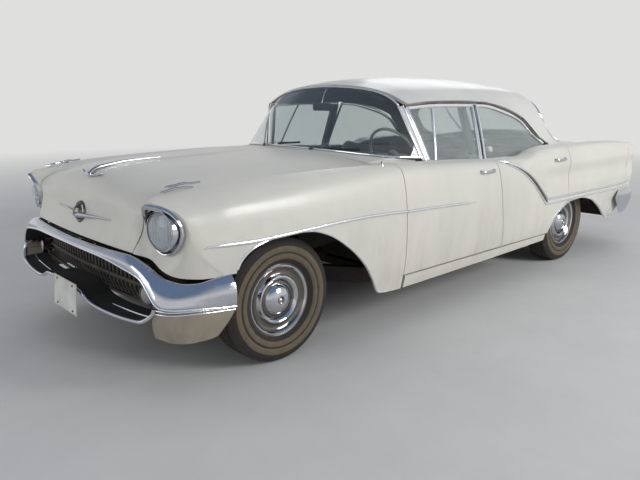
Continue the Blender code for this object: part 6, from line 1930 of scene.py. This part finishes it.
def pleats(direction, low, high, reach):
    """Sewn channels across a bench, between two seams; direction is outward from the seat."""
    way = Vector(direction).normalized()

    def shape(p, normal):
        if normal.dot(way) < 0.35 or abs(p.y) > reach + 0.05:
            return p
        along = p.x if way.z > 0.7 else p.z
        if abs(p.y) < reach:
            gap = abs((p.y / PLEAT_STEP) % 1.0 - 0.5) * PLEAT_STEP
            inside = ease(along, low, low + 0.03) * (1.0 - ease(along, high - 0.03, high))
            p -= way * 0.008 * (1.0 - ease(gap, 0.0, 0.016)) * inside
        for line in (low, high):
            p -= way * 0.007 * (1.0 - ease(abs(along - line), 0.0, 0.018)) * (1.0 - ease(abs(p.y), reach,
                    reach + 0.02))
        return p

    return shape


def piping(name, path, node):
    """Welt sewn along an edge of a bench."""
    piece = bar(name, path, oval(0.008, 0.008, 8), "bolster", (0.0, 0.0, 1.0))
    return finish_piece(piece, "body", "cloth", node)


def seats():
    """Front and rear benches, each with a cushion and a backrest."""
    def base_hold(level):
        return lambda p: ease(p.z, level, level + 0.05)

    def back_hold(low):
        return lambda p: ease(p.z, low, low + 0.04)

    padded_bench("front_cushion", ((0.392, 0.470), (0.424, 0.510), (0.418, 0.592), (0.360, 0.600),
                                   (0.000, 0.583), (-0.055, 0.575),
                                   (-0.095, 0.470)), 0.688, base_hold(0.470), "front_seat",
                 pleats((0.0, 0.0, 1.0), 0.02, 0.33, 0.56))
    padded_bench("front_backrest", ((-0.010, 0.600), (-0.088, 0.985), (-0.148, 1.026), (-0.212, 0.995),
                                    (-0.140, 0.560), (-0.080, 0.560)),
                 0.688, back_hold(0.560), "front_seat", pleats((1.0, 0.0, 0.19), 0.66, 0.93, 0.56))
    padded_bench("rear_cushion", ((-0.560, 0.462), (-0.542, 0.590), (-0.570, 0.636), (-0.880, 0.618),
                                  (-0.960, 0.600), (-0.985, 0.462)),
                 0.598, base_hold(0.462), "rear_seat", pleats((0.0, 0.0, 1.0), -0.87, -0.62, 0.48))
    padded_bench("rear_backrest", ((-0.905, 0.632), (-1.008, 0.930), (-1.062, 0.948), (-1.126, 0.925),
                                   (-1.066, 0.680), (-0.975, 0.622)),
                 0.598, back_hold(0.622), "rear_seat", pleats((1.0, 0.0, 0.33), 0.70, 0.88, 0.48))
    edge = [(0.421, y, 0.588) for y in spread(-0.655, 0.655, 12)]
    piping("front_welt", edge, "front_seat")
    edge = [(-0.541, y, 0.600) for y in spread(-0.570, 0.570, 12)]
    piping("rear_welt", edge, "rear_seat")
    parts = []
    for sign in (1.0, -1.0):
        # Risers in the darkened cloth: painted shade
        parts.append(cuboid("riser", (0.150, 0.430 * sign, 0.401), (0.44, 0.40, 0.136), "board"))
        shield = cuboid("side_shield", (0.150, 0.682 * sign, 0.492), (0.50, 0.008, 0.050), "bright")
        parts.append(shield)
    finish_piece(join("seat_frame", parts), "body", "trim", "front_seat")


def dash():
    """Instrument hood, speaker grille, glove door, knobs and a bright rail on the dashboard."""
    parts = []
    hood_path = []
    for k in range(41):
        a = math.pi * k / 40
        hood_path.append((0.672, 0.380 + 0.150 * math.cos(a), 0.846 + 0.060 * math.sin(a)))
    parts.append(bar("dial_hood", hood_path, oval(0.050, 0.014, 12, 0.7), "trim", (1.0, 0.0, 0.0)))
    face = turned("dial", ((0.0, 0.0), (0.0, 0.055), (-0.012, 0.058), (-0.014, 0.054), (-0.006, 0.052),
                           (-0.006, 0.0)),
                  (0.690, 0.440, 0.845), (1.0, 0.0, 0.0), "plate", 40)
    small = turned("dial", ((0.0, 0.0), (0.0, 0.055), (-0.012, 0.058), (-0.014, 0.054), (-0.006, 0.052),
                            (-0.006, 0.0)),
                   (0.690, 0.315, 0.845), (1.0, 0.0, 0.0), "plate", 40)
    parts += [face, small]
    for y in (0.440, 0.315):
        parts.append(bar("needle", [(0.6825, y, 0.845), (0.6825, y + 0.030, 0.862)], oval(0.002, 0.002, 6),
                         "red", (1.0, 0.0, 0.0)))
        parts.append(ring("dial_rim", Vector((0.676, y, 0.845)), (1.0, 0.0, 0.0), 0.056, 0.0025, "bright",
                          40))
    rail = [(0.668, y, 0.905) for y in spread(-0.70, 0.70, 30)]
    parts.append(bar("rail", rail, oval(0.010, 0.012, 10, 0.8), "bright", (0.0, 0.0, 1.0)))
    rail = [(0.694, y, 0.776) for y in spread(-0.70, 0.70, 30)]
    parts.append(bar("rail_low", rail, oval(0.008, 0.008, 10, 0.8), "bright", (0.0, 0.0, 1.0)))
    for y in spread(-0.085, 0.085, 15):
        parts.append(bar("speaker", [(0.681, y, 0.800), (0.677, y, 0.845), (0.6735, y, 0.885)],
                         oval(0.005, 0.004, 8), "bright", (0.0, 1.0, 0.0)))
    glove = [(0.679, -0.20, 0.812), (0.679, -0.56, 0.812), (0.672, -0.56, 0.884), (0.672, -0.20, 0.884),
             (0.679, -0.20, 0.812)]
    for a, b in zip(glove, glove[1:]):
        parts.append(bar("glove", [a, b], oval(0.004, 0.004, 6), "bright", (1.0, 0.0, 0.0)))
    for y, z in ((0.215, 0.860), (0.215, 0.820), (0.160, 0.860), (0.160, 0.820), (0.560, 0.850),
                 (0.600, 0.850), (-0.150, 0.845), (-0.380, 0.848)):
        parts.append(turned("knob", ((0.012, 0.0), (0.012, 0.005), (-0.006, 0.005), (-0.010, 0.011),
                                     (-0.022, 0.011), (-0.026, 0.006), (-0.026, 0.0)),
                            (0.676, y, z), (1.0, 0.0, 0.0), "plastic", 16))
    finish_piece(join("dash_trim", parts), "body", "trim")
    top = [[Vector((x, y, 0.951 + 0.004 * math.sin(math.pi * (x - 0.68) / 0.30))) for x in spread(0.700,
            0.975, 10)] for y in spread(-0.700, 0.700, 24)]
    cover = shell("dash_cover", top, 0.003, "shade", (0.8, 0.0, 0.0))
    finish_piece(cover, "body", "trim")


def steering():
    """Steering wheel with a moulded rim, two spokes, a hub and a horn ring."""
    hub = Vector((0.390, 0.380, 0.976))
    way = Vector((0.883, 0.0, -0.469)).normalized()
    up = Vector((0.469, 0.0, 0.883)).normalized()
    side_way = Vector((0.0, 1.0, 0.0))
    parts = []
    path = []
    for k in range(97):
        a = math.tau * k / 96
        path.append(hub + (side_way * math.cos(a) + up * math.sin(a)) * 0.205)
    parts.append(bar("grip", path, oval(0.021, 0.019, 12), "plastic", way, 40.0,
                     lambda k: 1.0 + 0.05 * math.cos(k * math.pi)))
    for sign in (1.0, -1.0):
        spoke = spline([hub + side_way * (0.020 * sign) - way * 0.004,
                        hub + side_way * (0.09 * sign) - way * 0.008 - up * 0.006,
                        hub + side_way * (0.160 * sign) - way * 0.003 - up * 0.012,
                        hub + side_way * (0.201 * sign) - up * 0.010], 6)
        parts.append(bar("spoke", spoke, oval(0.011, 0.030, 12, 0.8), "plastic", way))
    parts.append(turned("hub", ((0.018, 0.0), (0.018, 0.034), (0.0, 0.040), (-0.010, 0.037), (-0.016, 0.026),
                                (-0.018, 0.0)), hub, way, "plastic", 40))
    parts.append(turned("cap", ((-0.012, 0.0), (-0.012, 0.026), (-0.019, 0.024), (-0.024, 0.014),
                                (-0.025, 0.0)), hub, way, "bright", 32))
    horn = []
    for k in range(49):
        a = -math.pi * (0.02 + 0.96 * k / 48)
        horn.append(hub - way * 0.006 + (side_way * math.cos(a) + up * math.sin(a)) * 0.135)
    parts.append(bar("horn", horn, oval(0.007, 0.007, 8), "bright", way))
    for sign in (1.0, -1.0):
        parts.append(bar("horn_arm", [hub + side_way * (0.03 * sign) - way * 0.010,
                                      hub + side_way * (0.135 * sign) - way * 0.006 - up * 0.008],
                         oval(0.006, 0.008, 8), "bright", way))
    finish_piece(join("steering_dressed", parts), "steering_wheel", "trim", "steering_wheel")
    lever = [hub + way * 0.055 - side_way * 0.020, hub + way * 0.050 - side_way * 0.120 + up * 0.030,
             hub + way * 0.045 - side_way * 0.160 + up * 0.040]
    parts = [bar("lever", lever, oval(0.008, 0.008, 8), "bright", way)]
    parts.append(turned("lever_knob", ((-0.012, 0.0), (-0.010, 0.008), (0.006, 0.010), (0.014, 0.006),
                                       (0.016, 0.0)), lever[-1], (0.0, -1.0, 0.3), "plastic", 16))
    finish_piece(join("column_levers", parts), "body", "trim")


def door_inner(x, z):
    """Point on the trimmed inner face of a door."""
    t = side_t(x, z)
    p = skin(x, t)
    return Vector((p.x, p.y - linear(DOOR_WALLS, t), p.z))


def door_trim():
    """Armrest, window crank, latch handle and bright rail of each door."""
    for body, rest, crank, latch, first, last in (("front_door_left", 0.260, 0.480, 0.400, 0.760, -0.020),
                                                  ("rear_door_left", -0.400, -0.230, -0.300, -0.180, -0.760)):
        parts = []
        arm = [door_inner(rest + u, 0.675) + Vector((0.0, -0.026, 0.0)) for u in spread(-0.14, 0.14, 12)]
        lift = (0.3, 0.65, 0.9, 1.0)
        parts.append(bar("armrest", arm, oval(0.056, 0.050, 12, 0.75), "bolster", (0.0, 0.0, 1.0), 40.0,
                         lambda k: lift[min(k, 11 - k, 3)]))
        for x, angle in ((crank, -60.0), (latch, -10.0)):
            p = door_inner(x, 0.755)
            parts.append(turned("boss", ((-0.002, 0.0), (-0.002, 0.016), (0.008, 0.014), (0.018, 0.009),
                                         (0.018, 0.0)), p, (0.0, -1.0, 0.0), "chrome", 20))
            way = Vector((math.cos(math.radians(angle)), 0.0,
                          math.sin(math.radians(angle)))) * (0.085 if x == crank else 0.070)
            end = p + way + Vector((0.0, -0.024, 0.0))
            parts.append(bar("lever", [p + Vector((0.0, -0.014, 0.0)),
                                       p + way * 0.5 + Vector((0.0, -0.020, 0.0)), end],
                             oval(0.014, 0.007, 10, 0.8), "chrome", (0.0, 1.0, 0.0)))
            if x == crank:
                parts.append(turned("knob", ((0.0, 0.0), (0.0, 0.007), (0.016, 0.010), (0.026, 0.008),
                                             (0.028, 0.0)), end, (0.0, -1.0, 0.0), "plastic", 16))
        for z, wide in ((0.845, 0.010), (0.560, 0.008)):
            rail = [door_inner(x, z) + Vector((0.0, -0.002, 0.0)) for x in spread(first, last, 30)]
            parts.append(bar("rail", rail, oval(wide, 0.006, 8, 0.8), "bright", (0.0, 1.0, 0.0)))
        both(join(body.replace("_left", "_trim_left"), parts), body, "trim")


def cabin():
    """Sun visors, rear shelf and pedals."""
    for name, sign in SIDES:
        visor = [[Vector((0.635 - 0.13 * u, sign * (0.12 + 0.36 * w),
                          1.428 - 0.020 * u - 0.065 * w * w)) for u in spread(0.0, 1.0, 6)]
                 for w in spread(0.0, 1.0, 16)]
        # Visors in the darkened cloth: painted shade
        piece = rounded(shell("sun_visor_" + name, visor, 0.012, "board", (0.5, sign * 0.3, 1.0)), 0.004)
        finish_piece(piece, "body", "trim")
    # The shelf is in the darkened cloth: painted shade
    shelf = [[Vector((x, y, 0.948 - 0.02 * (x + 1.13))) for x in spread(-1.135, -1.560,
            12)] for y in spread(-0.590, 0.590, 20)]
    finish_piece(shell("rear_shelf", shelf, 0.008, "board", (-1.3, 0.0, 0.0)), "body", "trim")
    parts = []
    for y, wide, x, z in ((0.300, 0.075, 0.870, 0.460), (0.440, 0.075, 0.870, 0.460),
                          (0.180, 0.050, 0.880, 0.425)):
        parts.append(cuboid("pedal", (x, y, z), (0.018, wide, 0.060 if wide > 0.06 else 0.15), "rubber",
                            Matrix.Rotation(math.radians(-35.0), 3, "Y")))
        parts.append(bar("pedal_arm", spline([(x + 0.010, y, z), (x + 0.050, y, z + 0.10),
                                              (x + 0.060, y, z + 0.22)], 5), oval(0.012, 0.008, 8), "dark",
                         (0.0, 1.0, 0.0)))
    finish_piece(join("pedals", parts), "body", "trim")


camera()
studio()
kept_nodes()
fenders()
hood()
trunk_lid()
quarters()
roof()
rear_window()
rear_window_trim()
windscreen()
doors()
bpy.context.view_layer.update()
mouldings()
arch_lips()
handles()
belt_trim()
pillar_trim()
headlamps()
wheels()
ornaments()
bumper_front()
grille_front()
plate()
bumper_rear()
tail()
mirror_inside()
wipers()
antenna()
wheel_walls()
seats()
dash()
steering()
door_trim()
cabin()
